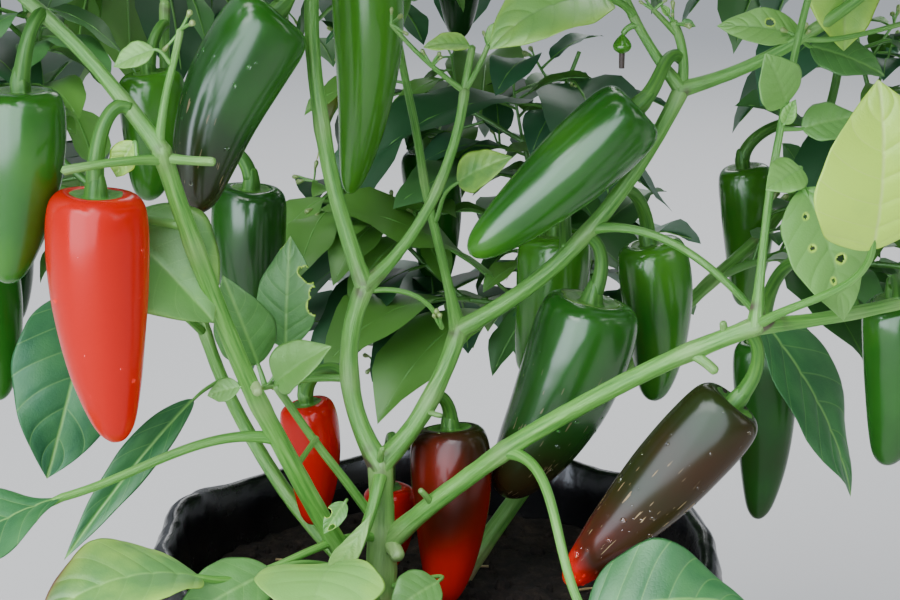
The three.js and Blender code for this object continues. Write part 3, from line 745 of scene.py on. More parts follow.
def hooked(start, start_way, end, end_way, count=STALK_ROWS):
    """A cubic from start to end that leaves and arrives along two directions, each weighted by
    1.1 times the distance between the ends."""
    t = np.linspace(0, 1, count)[:, None]
    reach = 1.1 * np.linalg.norm(end - start)
    h = [2 * t**3 - 3 * t**2 + 1, t**3 - 2 * t**2 + t, -2 * t**3 + 3 * t**2, t**3 - t**2]
    return h[0] * start + h[1] * unit(start_way) * reach + h[2] * end + h[3] * unit(end_way) * reach


def cap_points(curve, width, seed, rows=26, sides=60):
    """Points of the cap: a neck that flares from the stalk to a thin plate which follows the dimple,
    with its edge cut into small teeth."""
    half, long = width / 2, length_of(along(curve, np.linspace(0, 1, 20)))
    wide = np.random.default_rng(seed).uniform(0.48, 0.58)
    neck = 1.9 + 0.03 * width
    plate = half * vec(0.25, 0.33, wide, wide, 0.3, 0)
    across = np.concatenate([neck * vec(0, 0.6, 0.9, 1.14), plate])
    dimple = long * np.interp(across / half, (0, 0.22, 0.42, 0.6), (0.055, 0.035, 0.012, 0))
    down = dimple + (0, 0, 0, 0, -1.4, -0.6, -0.25, 0.6, 0.9, 0.9)
    down[:4] = (-7.5, -7, -4.8, -2.4)
    outline = smooth_outline(np.stack([down, across], axis=1), rows)
    way = unit(along(curve, 0.05) - curve[0])
    _, side, up = frames(along(curve, np.linspace(0, 1, 20)))
    angle = full_turn(sides)
    rim = np.clip(outline[:, 1] / outline[:, 1].max(), 0, 1) ** 4
    tooth = 0.12 * np.abs(np.cos(2.5 * angle + seed)) ** 3 + 0.04 * np.sin(9 * angle + seed) - 0.05
    teeth = 1 + rim[:, None] * tooth[None]
    ribs = 1 + 0.05 * (1 - rim[:, None]) * np.cos(5 * angle + seed)[None]
    reach = (outline[:, 1:] * teeth * ribs)[..., None]
    return curve[0] + way * outline[:, None, :1] + round_of(angle, side[0], up[0]) * reach, rim


def stalk_path(foot, stalk, arch, hang):
    """The stalk's course: it leaves along its arc's first direction and arrives along the pod."""
    guide = arc(foot, stalk, arch)
    end = guide[2] - unit(np.array(hang, float)) * 2.0
    leave = unit(guide[1] - guide[0]) + unit(np.array(arch, float) + 1e-9) * 0.6
    return hooked(guide[0], leave, end, np.array(hang, float))


def stalk_points(path, thick, seed, sides=20):
    """A ribbed stalk that widens towards the pod and is rounded off at both ends."""
    run = np.linspace(0, 1, len(path))
    radius = thick * (0.82 + 0.34 * run**2 + 0.35 * np.exp(-run * 14))
    ribs = 0.96 + 0.07 * np.abs(np.cos(2.5 * full_turn(sides) + seed))
    total = length_of(path)
    ends = rounded_ends(run * total, total, STALK_END, STALK_END)
    return tube(path, radius[:, None] * ribs[None] * ends[:, None], sides)


pod_surfaces = {}
for seed, (name, pod) in enumerate(PODS.items()):
    foot = along(limb_curves[pod["on"]], pod["at"])
    guide = arc(foot, pod["stalk"], pod["arch"])
    body = arc(guide[2], pod["hang"], pod["bend"])
    points, share = pod_points(body, pod["width"], pod["blunt"], 200 + seed)
    down, shoulders = share[:, None], pod["ripe"][0]
    patches = pod.get("patchy", PATCHES) * ripples(points, PATCH_LENGTH, 300 + seed)
    ripe = np.clip(between(pod["ripe"], down**1.2) + patches * (0.05 < shoulders < 0.9), 0, 1)
    if pod.get("tip_red"):
        ragged = down - RED_TIP_FROM + 0.1 * ripples(points, 25, seed)
        ripe = ripe + 0.36 * np.clip(ragged / RED_TIP_RISE, 0, 1)
    cork_start = pod.get("cork_from", 0.0) + 0.14 * ripples(points, 30, seed + 3)
    cork = pod.get("cork", 0.0) * np.clip((down - cork_start) / CORK_RISE, 0, 1)
    skin = dull_pod_skin if pod.get("dull") else pod_skin
    surface("pod_" + name, points, skin, ["fruit_" + name], fields={"ripe": ripe, "cork": cork})
    pod_surfaces[name] = points

    path = stalk_path(foot, pod["stalk"], pod["arch"], pod["hang"])
    if "lift" in pod:
        path = hooked(foot + vec(*pod["lift"]), vec(-1, -0.4, 0.7), path[-1], vec(*pod["hang"]))
    made = stalk_points(path, 2.0 + pod["width"] * 0.015, seed)
    uv = stem_uv(np.linspace(0, length_of(path), len(path)), made.shape[1] - 1)
    fresh = {"dry": np.zeros(made.shape[:2])}
    surface("stalk_" + name, made, cap_green, ["fruit_" + name], "stem", uv, fresh)
    made, rim = cap_points(body, pod["width"], seed)
    dry = 0.25 * np.repeat(rim[:, None] ** 6, made.shape[1], 1)
    surface("cap_" + name, made, cap_green, ["fruit_" + name], "stem", fields={"dry": dry})
print("pods made:", len(pod_surfaces))

# %% [markdown]
# ## Leaf blades
# A chilli leaf is an egg shape drawn out to a point. It folds a little along the midrib, the tissue
# puffs up between the side veins, and the margin waves. The blade is two grids, an upper and a lower
# skin, which meet at the margin, so the leaf has a real thickness and a clean edge.

# %% Leaf blades
VEIN_PAIRS = 6.5
HOLE_STRETCH, RIM_WIDTH = 0.27, 0.012


def leaf_half(share, full, a=0.72):
    """Half the width of a leaf: (v/p)^a ((1-v)/(1-p))^b, which is widest at p = a/(a+b). A larger a
    draws the blade out along its stalk as a narrow wing."""
    b = 1.08
    p = a / (a + b)
    return full / 2 * (np.clip(share, 0, 1) / p) ** a * (np.clip(1 - share, 0, 1) / (1 - p)) ** b


def blade_points(
    curve, width, seed, rows=64, columns=33, fold=0.22, wave=1.2, twist=0.3, puff=0.45, thick=0.55, wing=0.72
):
    """Both skins of a leaf. A point lies u half-widths across and v along the midrib. Its height off
    the flat leaf is fold |u| half, plus waves u^2 sin(kv), less puff d^4, where d is 1 on a vein."""
    v, u = np.linspace(0, 1, rows)[:, None], np.linspace(-1, 1, columns)[None]
    draw = np.random.default_rng(seed)
    spine = along(curve, v[:, 0])
    tangent = unit(np.gradient(spine, axis=0))
    side = np.broadcast_to(side_of(curve), tangent.shape)
    up = unit(np.cross(side, tangent))
    turn = (twist * (v - 0.3))[:, :1]
    side, up = side * np.cos(turn) + up * np.sin(turn), up * np.cos(turn) - side * np.sin(turn)
    half = leaf_half(v, width, wing)
    phase = (v - 0.17 * np.abs(u) - 0.05 * u**2) * VEIN_PAIRS
    vein = np.abs((phase % 1) - 0.5) * 2
    first, second = draw.uniform(0, 6.28, 2)
    beat = np.where(u > 0, np.sin(15 * v + first), np.sin(13 * v + second))
    slow = np.where(u > 0, np.sin(6 * v + second), np.sin(5 * v + first))
    lift = fold * np.abs(u) * half * (1 - 0.45 * np.abs(u))
    lift = lift + wave * u**2 * (0.6 * beat + slow) * np.clip(6 * v * (1 - v), 0, 1)
    lift = lift - puff * vein**4 * np.sqrt(1 - 0.9 * u**2) * np.clip(8 * v * (1 - v), 0, 1)
    across = u * half * (1 + 0.018 * np.sin(23 * v + first + u))
    middle = spine[:, None] + across[..., None] * side[:, None] + lift[..., None] * up[:, None]
    ends = np.clip(12 * v * (1 - v), 0, 1) ** 0.5
    apart = (thick / 2 * np.sqrt(np.clip(1 - u**2, 0, 1)) * ends)[..., None] * up[:, None]
    fields = {"across": u + 0 * v, "along": v + 0 * u, "phase": phase, "off": np.abs(u) * half}
    return middle + apart, middle - apart, fields


def kept_faces(keep, columns, offset):
    """The quads of the cells that are kept, of both skins, and a wall round each hole between them."""
    rows = keep.shape[0] + 1
    quads = grid_faces(rows, columns)[keep.ravel()]
    top, bottom = quads, quads[:, ::-1] + offset
    index = np.arange(rows * columns).reshape(rows, columns)
    across = keep[:-1] != keep[1:]
    a, b = index[1:-1, :-1][across], index[1:-1, 1:][across]
    lengthwise = keep[:, :-1] != keep[:, 1:]
    c, d = index[:-1, 1:-1][lengthwise], index[1:, 1:-1][lengthwise]
    start, stop = np.concatenate([a, c]), np.concatenate([b, d])
    walls = np.stack([start, stop, stop + offset, start + offset], axis=1)
    return np.concatenate([top, walls]), bottom


def punched(fields, holes):
    """Which cells stay, and how near each point is to a hole's edge. A hole is (across, along, radius
    in shares of the length), and a cell whose middle lies in one is dropped."""
    u, v = fields["across"], fields["along"]
    rim = np.zeros(u.shape)
    keep = np.ones((u.shape[0] - 1, u.shape[1] - 1), bool)
    for at, on, size in holes:
        gap = np.hypot((u - at) * HOLE_STRETCH, v - on)
        centre = (gap[:-1, :-1] + gap[1:, :-1] + gap[:-1, 1:] + gap[1:, 1:]) / 4
        keep &= centre > size
        rim = np.maximum(rim, np.exp(-(((gap - size) / RIM_WIDTH) ** 2)))
    return keep, rim


def leaf_piece(name, curve, width, seed, nodes=(), light=0.3, yellow=0.0, brown=0.0, holes=(), **shape):
    """One leaf with a material for each skin, and fields for its veins, its age with painted light and
    shade, and its yellowing.
    """
    upper, lower, fields = blade_points(curve, width, seed, **shape)
    rows, columns = upper.shape[:2]
    keep, rim = punched(fields, holes)
    top, bottom = kept_faces(keep, columns, rows * columns)
    edge = np.abs(fields["across"]) ** 3 * 0.35 + 0.12 * ripples(upper, 22, seed + 60)
    fields["yellow"] = np.clip(yellow * (1 + edge * 2) + edge * 0.5 * (yellow > 0) + rim, 0, 1)
    edge = np.abs(fields["across"]) ** 8 * np.clip((fields["along"] - 0.55) * 4, 0, 1)
    fields["brown"] = np.clip(brown * (edge + fields["along"] ** 14) * 1.4, 0, 1)
    # light: how young the blade is, together with painted shade and painted light: low for leaves in shade,
    # high for leaves lit through from behind
    fields["light"] = np.full(fields["across"].shape, light)
    both = {key: np.concatenate([value.ravel(), value.ravel()]) for key, value in fields.items()}
    points = np.concatenate([upper.reshape(-1, 3), lower.reshape(-1, 3)])
    uv = np.stack([both["across"] / 2 + 0.5, both["along"]], axis=-1)
    mesh = raw_mesh(name, points, np.concatenate([top, bottom]), uv, both)
    layer = np.zeros(len(mesh.polygons), np.int32)
    layer[len(top):] = 1
    mesh.polygons.foreach_set("material_index", layer)
    place(weld(mesh), [leaf_upper, leaf_lower], nodes)


widest = 2 * float(leaf_half(np.array(0.4), 40))
print("a leaf 40 mm wide is", round(widest, 1), "mm wide at its widest")

# %% [markdown]
# ## Leaf finish
# The upper skin is a bluish mid green with a faint shine, and its veins are paler. The veins are
# drawn from two fields that the blade holds: how far a point is along the run of side veins, and how
# far it is off the midrib. The lower skin is paler and duller. Yellowing spreads from the margin.

# %% Leaf finish
LEAF_FADED, LEAF_BROWN = (0.62, 1.0, 0.1), (0.24, 0.11, 0.07)
VEIN_GREEN, VEIN_FADED = (0.24, 0.52, 0.13), (0.7, 0.95, 0.25)
FADING = [(0.12, (0, 0, 0)), (0.75, (1, 1, 1))]
VEIN_SHARP, VEIN_SHOWS, RIB_SHARP, RIB_SHOWS = 22.0, 0.36, 1.25, 0.85


def leaf_finish(name, dark, mid, young, roughness, relief):
    """A leaf skin: cloudy between two greens, paler with youth and with painted light, yellowing,
    and paler on its veins.
    """
    made, tree = finish_of(name, roughness, 0.3)
    cloud = uv_pattern(tree, (3, 4, 1), Detail=4.0)
    # the pale green comes in with the light field: youth, and painted light on leaves lit through from
    # behind
    base = blend_colours(tree, field(tree, "light"), ramp(tree, cloud, [(0.35, dark), (0.65, mid)]), young)
    uneven = maths(tree, "MULTIPLY", maths(tree, "SUBTRACT", cloud, 0.5), 0.5)
    fading = ramp(tree, maths(tree, "ADD", field(tree, "yellow"), uneven), FADING)
    faded = blend_colours(tree, fading, base, LEAF_FADED)

    side = maths(tree, "PINGPONG", field(tree, "phase"), 0.5)
    fine = maths(tree, "SUBTRACT", 1.0, maths(tree, "MULTIPLY", side, VEIN_SHARP))
    fine = maths(tree, "MULTIPLY", maths(tree, "MAXIMUM", fine, 0.0), VEIN_SHOWS)
    rib = maths(tree, "SUBTRACT", 1.0, maths(tree, "MULTIPLY", field(tree, "off"), RIB_SHARP))
    rib = maths(tree, "MINIMUM", maths(tree, "MAXIMUM", rib, 0.0), RIB_SHOWS)
    mask = maths(tree, "MAXIMUM", fine, rib)
    veined = blend_colours(tree, mask, faded, blend_colours(tree, fading, VEIN_GREEN, VEIN_FADED))
    browned = blend_colours(tree, field(tree, "brown"), veined, LEAF_BROWN)

    network = add_node(tree, "ShaderNodeTexVoronoi", feature="DISTANCE_TO_EDGE", Scale=700.0)
    tree.links.new(add_node(tree, "ShaderNodeTexCoord").outputs["Object"], network.inputs["Vector"])
    cells = maths(tree, "MINIMUM", network.outputs["Distance"], 0.22)
    height = maths(tree, "SUBTRACT", cells, maths(tree, "MULTIPLY", mask, 0.7))
    feed(tree, browned, bump(tree, height, relief, 0.0005))
    return made


# dark, mid and pale greens for the light field: the darkest stands in for painted shade, the palest partly
# for painted light
UPPER_GREENS = ((0.02, 0.125, 0.045), (0.05, 0.21, 0.065), (0.27, 0.6, 0.13))
LOWER_GREENS = ((0.07, 0.21, 0.095), (0.11, 0.29, 0.115), (0.3, 0.58, 0.15))
leaf_upper = leaf_finish("leaf_upper", *UPPER_GREENS, 0.42, 0.22)
leaf_lower = leaf_finish("leaf_lower", *LOWER_GREENS, 0.55, 0.4)
print("made", leaf_upper.name, "and", leaf_lower.name)

# %% [markdown]
# ## The large leaves
# These stand in the open, so each has its own curve. Its stalk leaves the bough, and runs on under
# the blade as the raised midrib. `light` mixes the blade from a dark green towards a pale young
# green. Partly it is how young the leaf is, and partly it is painted shade and painted light: low for
# leaves that hang in shade, high for leaves lit through from behind. A larger `wing` draws the blade
# out along its stalk. A hole is given by where it is across and along, and its radius.

# %% The large leaves
LEAVES = table("on at width stalk arch blade back light", {
    # low_left and left_shade get a light near 0 as painted shade: the darkest greens, for leaves that hang
    # in shade
    "low_left": (
        "left_bough", 0.44, 42, (-66, -26, -10), (0, 0, 9),
        (-44, -25, -25), (-2, -1, 5), 0.05, dict(wave=2.2, wing=1.15, thick=1.5),
    ),
    "yellowing": (
        "left_bough", 0.09, 36, (-49, -44, 20), (0, 0, 4),
        (-47, -30, -2), (0, -2, 8), 0.4, dict(yellow=0.14, brown=1.0, thick=1.35, foot=("trunk", 0.58)),
    ),
    "foot": (
        "trunk", 0.96, 42, (-11, -25, -23), (3, -8, 3),
        (-9, -48, 0), (-1, -2, 7), 0.85, dict(yellow=0.06, wing=2.3, thick=2.0),
    ),
    "left_shade": (
        "back_left_bough", 0.5, 44, (-35, -34, 27), (0, 0, 6),
        (-16, -22, -64), (2, -7, 3), 0.0, dict(wave=1.8),
    ),
    "top_pale": (
        "mid_right_fork", 0.42, 32, (-9, -4, 6), (0, 0, 3),
        (-40, -20, -14), (-2, -5, 6), 1.0, dict(yellow=0.12),
    ),
    "bright_yellow": (
        "right_bough", 1, 42, (28, -30, 32), (2, -2, 2),
        (-3, -8, 52), (1, -6, 1), 1.0, dict(yellow=0.8, wave=1.8),
    ),
    "holed": ("right_bough_rise", 0.44, 28, (8, -10, -3), (0, 0, 5), (13, -8, -40), (1, -5, 2), 0.8),
    "right_dark": (
        "mid_right_reach", 0.5, 32, (56, -26, -24), (3, 0, 12),
        (36, 8, -68), (4, -4, 2), 0.08, dict(thick=1.4),
    ),
    "front_right": (
        "right_bough", 0.38, 40, (26, -44, -40), (10, 0, 14),
        (54, 8, 0), (0, -5, 7), 0.06, dict(wave=2.4, thick=1.65, arrive=(0.5, -0.2, -0.8)),
    ),
})
HOLES = {
    "holed": (
        (-0.35, 0.3, 0.022), (0.4, 0.42, 0.016), (-0.2, 0.55, 0.028), (0.3, 0.2, 0.018), (0.15, 0.68, 0.02),
    ),
    "bitten": (
        (0.85, 0.66, 0.07), (0.6, 0.68, 0.04), (1.0, 0.4, 0.08), (1.0, 0.5, 0.06), (-1.0, 0.93, 0.05),
    ),
    "chewed": ((0.8, 0.5, 0.12), (-0.5, 0.75, 0.1)),
    "fresh": ((0.3, 0.4, 0.05),),
}
LEAF_ROWS, LEAF_COLUMNS, LEAF_WAVE, LEAF_STALK = 96, 49, 1.3, 1.25


def leaf_stalk(foot, leave, curve, thick, arrive=None, sides=14):
    """A stalk from the bough to the blade, and on below the blade as its midrib."""
    under = np.linspace(0.0, 0.9, STALK_ROWS)
    rib = along(curve, under)
    end_way = unit(curve[1] - curve[0]) if arrive is None else vec(*arrive)
    lead = hooked(foot, leave, along(curve, 0.0), end_way)
    down = -np.cross(side_of(curve)[None], unit(np.gradient(rib, axis=0)))
    sunk = (0.35 + 0.7 * thick * (1 - under)) * np.minimum(under * 8, 1)
    path = np.concatenate([lead[:-1], rib + down * sunk[:, None]])
    share = np.linspace(0, 1, len(path))
    near = thick * (1.1 - 0.4 * share + 0.5 * np.exp(-share * 22))
    far = thick * 0.9 * (1.9 - 1.8 * share) ** 1.1
    total = length_of(path)
    radius = np.where(share < 0.5, near, far) * rounded_ends(share * total, total, STALK_END, STALK_END)
    return tube(path, radius[:, None], sides), total


leaf_guides = {}
for seed, (name, leaf) in enumerate(LEAVES.items()):
    foot = along(limb_curves[leaf["on"]], leaf["at"])
    curve = arc(foot + vec(*leaf["stalk"]), leaf["blade"], leaf["back"])
    guide = arc(foot, along(curve, 0.06) - foot, leaf["arch"])
    leaf_guides[name] = (guide, curve)
    looks = {key: leaf[key] for key in ("light", "yellow", "brown", "wing") if key in leaf}
    looks.update(rows=LEAF_ROWS, columns=LEAF_COLUMNS, wave=leaf.get("wave", LEAF_WAVE))
    looks["holes"] = HOLES.get(name, ())
    leaf_piece("blade_" + name, curve, leaf["width"], 500 + seed, ["leaf_" + name], **looks)
    if "foot" in leaf:
        foot = along(limb_curves[leaf["foot"][0]], leaf["foot"][1])
    thick, leave = leaf.get("thick", LEAF_STALK), guide[1] - guide[0]
    made, total = leaf_stalk(foot, leave, curve, thick, leaf.get("arrive"))
    uv = stem_uv(np.linspace(0, total, len(made)), made.shape[1] - 1)
    surface("petiole_" + name, made, stem_green, ["leaf_" + name], "stem", uv)
guide, curve = leaf_guides["foot"]
wing = np.array([along(guide, 0.5), curve[0], along(curve, 0.4)])
looks = dict(light=1.0, rows=40, columns=21, wave=0.4, fold=0.35, wing=1.4)
leaf_piece("blade_foot_wing", wing, 8, 520, **looks)
print("large leaves:", len(LEAVES))

# %% [markdown]
# ## The rule of growth
# Each mass of foliage grows from its bough by one rule: twigs fork three ways and then two, leaves
# turn round their twig by the golden angle, and anything that would leave the mass's own space or
# touch a bough, a pod or a large leaf is left out. Seeded draws make it the same every time.

# %% The rule of growth
CROWN_MIDDLE, CROWN_HALF, CROWN_LOWEST = vec(12, 8, 405), vec(262, 232, 238), 236
OPEN_HALF_WIDTH, OPEN_BACK, OPEN_TOP = 176, 28, 432
TWIG_LENGTHS, TWIG_SPLITS, TWIG_RADII = (0, 58, 52), (3, 2, 0), (1.7, 1.3, 1.0)
FORK_ANGLE, FORK_SPREAD, TURN = 0.72, 13, 2.4
LEAVES_PER_TWIG, LEAF_SPACING, LEAF_TRIES, LEAF_LENGTH, LEAF_WIDTH = 5, 12, 4, 86, 0.42
LEAF_SPOTS = (0.35, 0.55, 0.75, 0.95)
PODS_PER_MASS, POD_LENGTH, POD_WIDTH, POD_STALK = 2, 62, 23, 26
SPHERE_STEP, DRAW_STATES = 5, 2**32
MASSES = {
    "foliage_left_front": ("left_bough_top", 1, (-170, -100, 470), 11),
    "foliage_left": ("back_left_bough", 0.6, (-185, 70, 380), 12),
    "foliage_front": ("mid_left_rise", 1, (-15, -115, 515), 13),
    "foliage_top": ("mid_left_rise", 0.9, (-60, 40, 560), 14),
    "foliage_right_top": ("mid_right_fork", 1, (75, 10, 545), 15),
    "foliage_right_front": ("right_bough_rise", 1, (140, -115, 490), 16),
    "foliage_right": ("mid_right_arm", 1, (205, 15, 470), 17),
    "foliage_far_right": ("right_bough_outer", 1, (228, -55, 345), 18),
    "foliage_back_right": ("back_stem_top", 1, (150, 160, 450), 19),
    "foliage_low_right": ("back_stem", 0.86, (190, 105, 315), 20),
    "foliage_back": ("mid_back_spur", 1, (5, 165, 430), 21),
    "foliage_back_left": ("back_left_bough", 1, (-115, 160, 440), 22),
    "foliage_low_back": ("back_stem", 0.62, (25, 140, 305), 23),
}


def spheres_along(curve, radius):
    """Spheres every 5 mm of a curve, as rows of centre and radius."""
    count = math.ceil(length_of(parabola(curve, np.linspace(0, 1, CHORDS + 1))) / SPHERE_STEP)
    centres = along(curve, np.arange(count + 1) / count)
    return np.column_stack([centres, np.full(count + 1, radius)])


blocked = [spheres_along(limb_curves[name], limb["radii"][0]) for name, limb in LIMBS.items()]
for pod in PODS.values():
    foot = along(limb_curves[pod["on"]], pod["at"])
    hang = vec(*pod["hang"])
    blocked.append(spheres_along(arc(foot, vec(*pod["stalk"]) + 0.6 * unit(hang), pod["arch"]), 2))
    blocked.append(spheres_along(arc(foot + vec(*pod["stalk"]), hang, pod["bend"]), pod["width"] / 2))
for name, (guide, curve) in leaf_guides.items():
    blocked.append(spheres_along(guide, 1.2))
    blocked.append(spheres_along(curve, LEAVES[name]["width"] / 2 - 1))
blocked = np.vstack(blocked)
middles = np.array([row[2] for row in MASSES.values()], float)


def is_free(points, own, air):
    """Which points lie in a mass's own space: in the crown's egg, out of the open front, nearer
    the mass's middle than any other by 1 mm, and clear of every sphere."""
    at = np.atleast_2d(points)
    free = (((at - CROWN_MIDDLE) / CROWN_HALF) ** 2).sum(1) <= 1
    free &= at[:, 2] >= CROWN_LOWEST
    free &= ~((np.abs(at[:, 0]) < OPEN_HALF_WIDTH) & (at[:, 1] < OPEN_BACK) & (at[:, 2] < OPEN_TOP))
    others = middles[np.any(middles != own, axis=1)]
    nearer = ((at[:, None] - others) ** 2).sum(2) - ((at - own) ** 2).sum(1)[:, None]
    free &= (nearer / (2 * np.linalg.norm(own - others, axis=1)) > 1).all(1)
    gap = np.linalg.norm(at[:, None] - blocked[None, :, :3], axis=2)
    return free & (gap > blocked[:, 3] + air).all(1)


def seeded(seed):
    """Draws from 0 to 1: state = state * 1664525 + 1013904223, kept to 32 bits."""
    while True:
        seed = (seed * 1664525 + 1013904223) % DRAW_STATES
        yield seed / DRAW_STATES


def splay(heading, angle, turn):
    """A direction at an angle from another, turned round it."""
    spare = vec(0, 0, 1) if abs(heading[2]) < 0.9 else vec(1, 0, 0)
    side = unit(np.cross(spare, heading))
    out = side * math.cos(turn) + np.cross(heading, side) * math.sin(turn)
    return unit(heading * math.cos(angle) + out * math.sin(angle))


def has_room(curve, taken, air):
    """Whether four points of a curve stand off every point already taken."""
    at = along(curve, LEAF_SPOTS)
    return bool((np.linalg.norm(at[:, None] - np.array(taken)[None], axis=2) > air).all())


def twig_leaf(foot, heading, turn, size, droop, own, taken, spacing):
    """The curve of a leaf that has room and stays in its mass's space, or nothing."""
    out = splay(heading, 1.1, turn)
    reach = unit(vec(out[0], out[1], 0.6 * out[2] - droop)) * size
    curve = arc(foot, reach, vec(0.05 * out[0], 0.05 * out[1], 0.13) * size)
    if not has_room(curve, taken, spacing):
        return None
    shares = np.minimum(0.2 + 0.16 * np.arange(6), 1)
    reach_out = 0.5 * LEAF_WIDTH * size * np.minimum(1, 2.4 * (1 - shares))
    out_by = vec(-0.9, 0, 0.9)[None, :] * reach_out[:, None]
    edges = along(curve, shares)[:, None] + out_by[..., None] * side_of(curve)
    if not is_free(edges.reshape(-1, 3), own, 2).all():
        return None
    taken.extend(along(curve, LEAF_SPOTS))
    return curve


def fitted_leaf(tries, foot, heading, turn, *rest):
    """The first leaf that fits, with a further turn round its twig at each try, and the last turn."""
    for _ in range(tries):
        turn += TURN
        curve = twig_leaf(foot, heading, turn, *rest)
        if curve is not None:
            return curve, turn
    return None, turn


def twigs_of(root, own, draw):
    """Twigs as (from, tip, heading, level): one stem towards the middle, then seeded forks."""
    way = own - root
    queue, twigs = [(root, unit(way), 0.55 * np.linalg.norm(way), 0)], []
    while queue:
        start, heading, length, level = queue.pop(0)
        tip = start + heading * length
        if level > 0 and not is_free([(start + tip) / 2, tip], own, 2).all():
            continue
        twigs.append((start, tip, heading, level))
        turn = 2 * math.pi * next(draw)
        for i in range(TWIG_SPLITS[level]):
            angle = FORK_ANGLE * (0.8 + 0.4 * next(draw))
            onward = splay(heading, angle, turn + 2 * math.pi * i / TWIG_SPLITS[level])
            fork = start + (tip - start) * (1 - (3 + FORK_SPREAD * i) / length)
            queue.append((fork, onward, TWIG_LENGTHS[level + 1], level + 1))
    return twigs


def pod_curves(foot):
    """The stalk and body of a pod that hangs from a twig's tip."""
    stem = arc(foot, (5, -4, -POD_STALK), (3, -2, 2))
    return stem, arc(stem[2], (4, 0, -POD_LENGTH), (2, 0, 0))


def grow(name):
    """The twigs, leaf curves and pods of one mass, in the order that the seeded draws give."""
    on, at, middle, seed = MASSES[name]
    own, draw = vec(*middle), seeded(seed)
    twigs = twigs_of(along(limb_curves[on], at), own, draw)
    taken = [start + (tip - start) * share for start, tip, _, _ in twigs for share in (0.25, 0.5, 0.75)]
    pods = []
    for _, tip, _, level in twigs:
        if level > 0 and len(pods) < PODS_PER_MASS:
            stem, body = pod_curves(tip)
            spots = along(body, (0, 0.25, 0.5, 0.75, 1))
            if has_room(body, taken, POD_WIDTH / 2 + 3) and is_free(spots, own, POD_WIDTH / 2 + 2).all():
                taken.extend(spots)
                pods.append((stem, body))
    turn = 2 * math.pi * next(draw)
    kept, leaves = [], []
    for start, tip, heading, level in twigs:
        grown = []
        for i in range(1, LEAVES_PER_TWIG + 1):
            size, droop = LEAF_LENGTH * (0.72 + 0.36 * next(draw)), 0.2 + 0.8 * next(draw)
            foot = start + (tip - start) * (0.26 + 0.64 * i / LEAVES_PER_TWIG)
            rest = (size, droop, own, taken, LEAF_SPACING)
            curve, turn = fitted_leaf(LEAF_TRIES, foot, heading, turn, *rest)
            if curve is not None:
                grown.append((curve, size))
        if grown or TWIG_SPLITS[level]:
            kept.append((start, tip, heading, level))
        leaves.extend(grown)
    return {"own": own, "twigs": kept, "leaves": leaves, "pods": pods, "taken": taken}


grown = [grow(name) for name in MASSES]
for kind in ("leaves", "twigs", "pods"):
    print(kind, sum(len(mass[kind]) for mass in grown))

# %% [markdown]
# ## Finer growth
# The solids stop at the second fork. Between their leaves the real plant has short side twigs with
# small young leaves and flower buds at their ends, so the same rule runs once more from each twig
# with a shorter reach, and keeps to what room is left in the mass's space.

# %% Finer growth
SIDE_TWIG, SIDE_TWIG_PLACES = (15, 27), (0.35, 0.6, 0.85, 1.0)
YOUNG_LEAF, YOUNG_SPACING, YOUNG_PER_TWIG, YOUNG_TRIES = (24, 46), 7.5, 4, 3


young_leaves, side_twigs, bud_places = [], [], []
for order, mass in enumerate(grown):
    draw = seeded(900 + order)
    young_leaves.append([])
    for start, tip, heading, _ in mass["twigs"]:
        for share in SIDE_TWIG_PLACES:
            length = between(SIDE_TWIG, next(draw))
            angle, turn = 0.5 + 0.5 * next(draw), 2 * math.pi * next(draw)
            foot = start + (tip - start) * share
            way = splay(heading, angle if share < 1 else 0.3, turn)
            end = foot + way * length
            if not is_free([(foot + end) / 2, end], mass["own"], 1.5).all():
                continue
            found = []
            for k in range(YOUNG_PER_TWIG):
                size, droop = between(YOUNG_LEAF, next(draw)), 0.1 + 0.7 * next(draw)
                root = foot + (end - foot) * (0.4 + 0.18 * k)
                rest = (size, droop, mass["own"], mass["taken"], YOUNG_SPACING)
                curve, turn = fitted_leaf(YOUNG_TRIES, root, way, turn, *rest)
                if curve is not None:
                    found.append((curve, size))
            if found:
                side_twigs.append((foot, end))
                bud_places.append((end, way))
                young_leaves[-1].extend(found)
print("young leaves:", sum(map(len, young_leaves)), "side twigs:", len(side_twigs))

# %% [markdown]
# ## Crown leaves
# Hundreds of leaves need a small mesh each: one sheet of thirteen rows and five columns is enough for
# the outline, the fold and one wave. They are joined into a few pieces by shade. A whole spray has
# one plain colour, as leaves of one age do, with younger ones fresher and a few old ones yellow.

# %% Crown leaves
CROWN_ROWS, CROWN_COLUMNS = 13, 5
SPRAY, YOUNG_SPRAY, YOUNG_BELOW = 5, 3, 50
SHADES = {
    "deep": (0.024, 0.115, 0.035),
    "bluish": (0.04, 0.165, 0.068),
    "mid": (0.066, 0.23, 0.05),
    "fresh": (0.13, 0.35, 0.05),
    "yellowing": (0.38, 0.48, 0.05),
}
SHADE_ODDS, YOUNG_SHADE_ODDS = (0.26, 0.32, 0.3, 0.09, 0.03), (0.08, 0.16, 0.34, 0.38, 0.04)


def tail_of(curve, share):
    """The part of a parabola past a share: its own three control points, by de Casteljau."""
    onward = (1 - share) * curve[1] + share * curve[2]
    return np.array([parabola(curve, share), onward, curve[2]])


def crown_blade(curve, size, seed):
    """A leaf of a few dozen faces on the blade's part of a leaf curve."""
    blade = tail_of(curve, 0.13)
    lean = 0.26 + 0.05 * (seed % 5)
    looks = dict(fold=lean, wave=0.03 * size, twist=0.5, puff=0, thick=0)
    sheet, _, _ = blade_points(blade, LEAF_WIDTH * size * 1.1, seed, CROWN_ROWS, CROWN_COLUMNS, **looks)
    return sheet


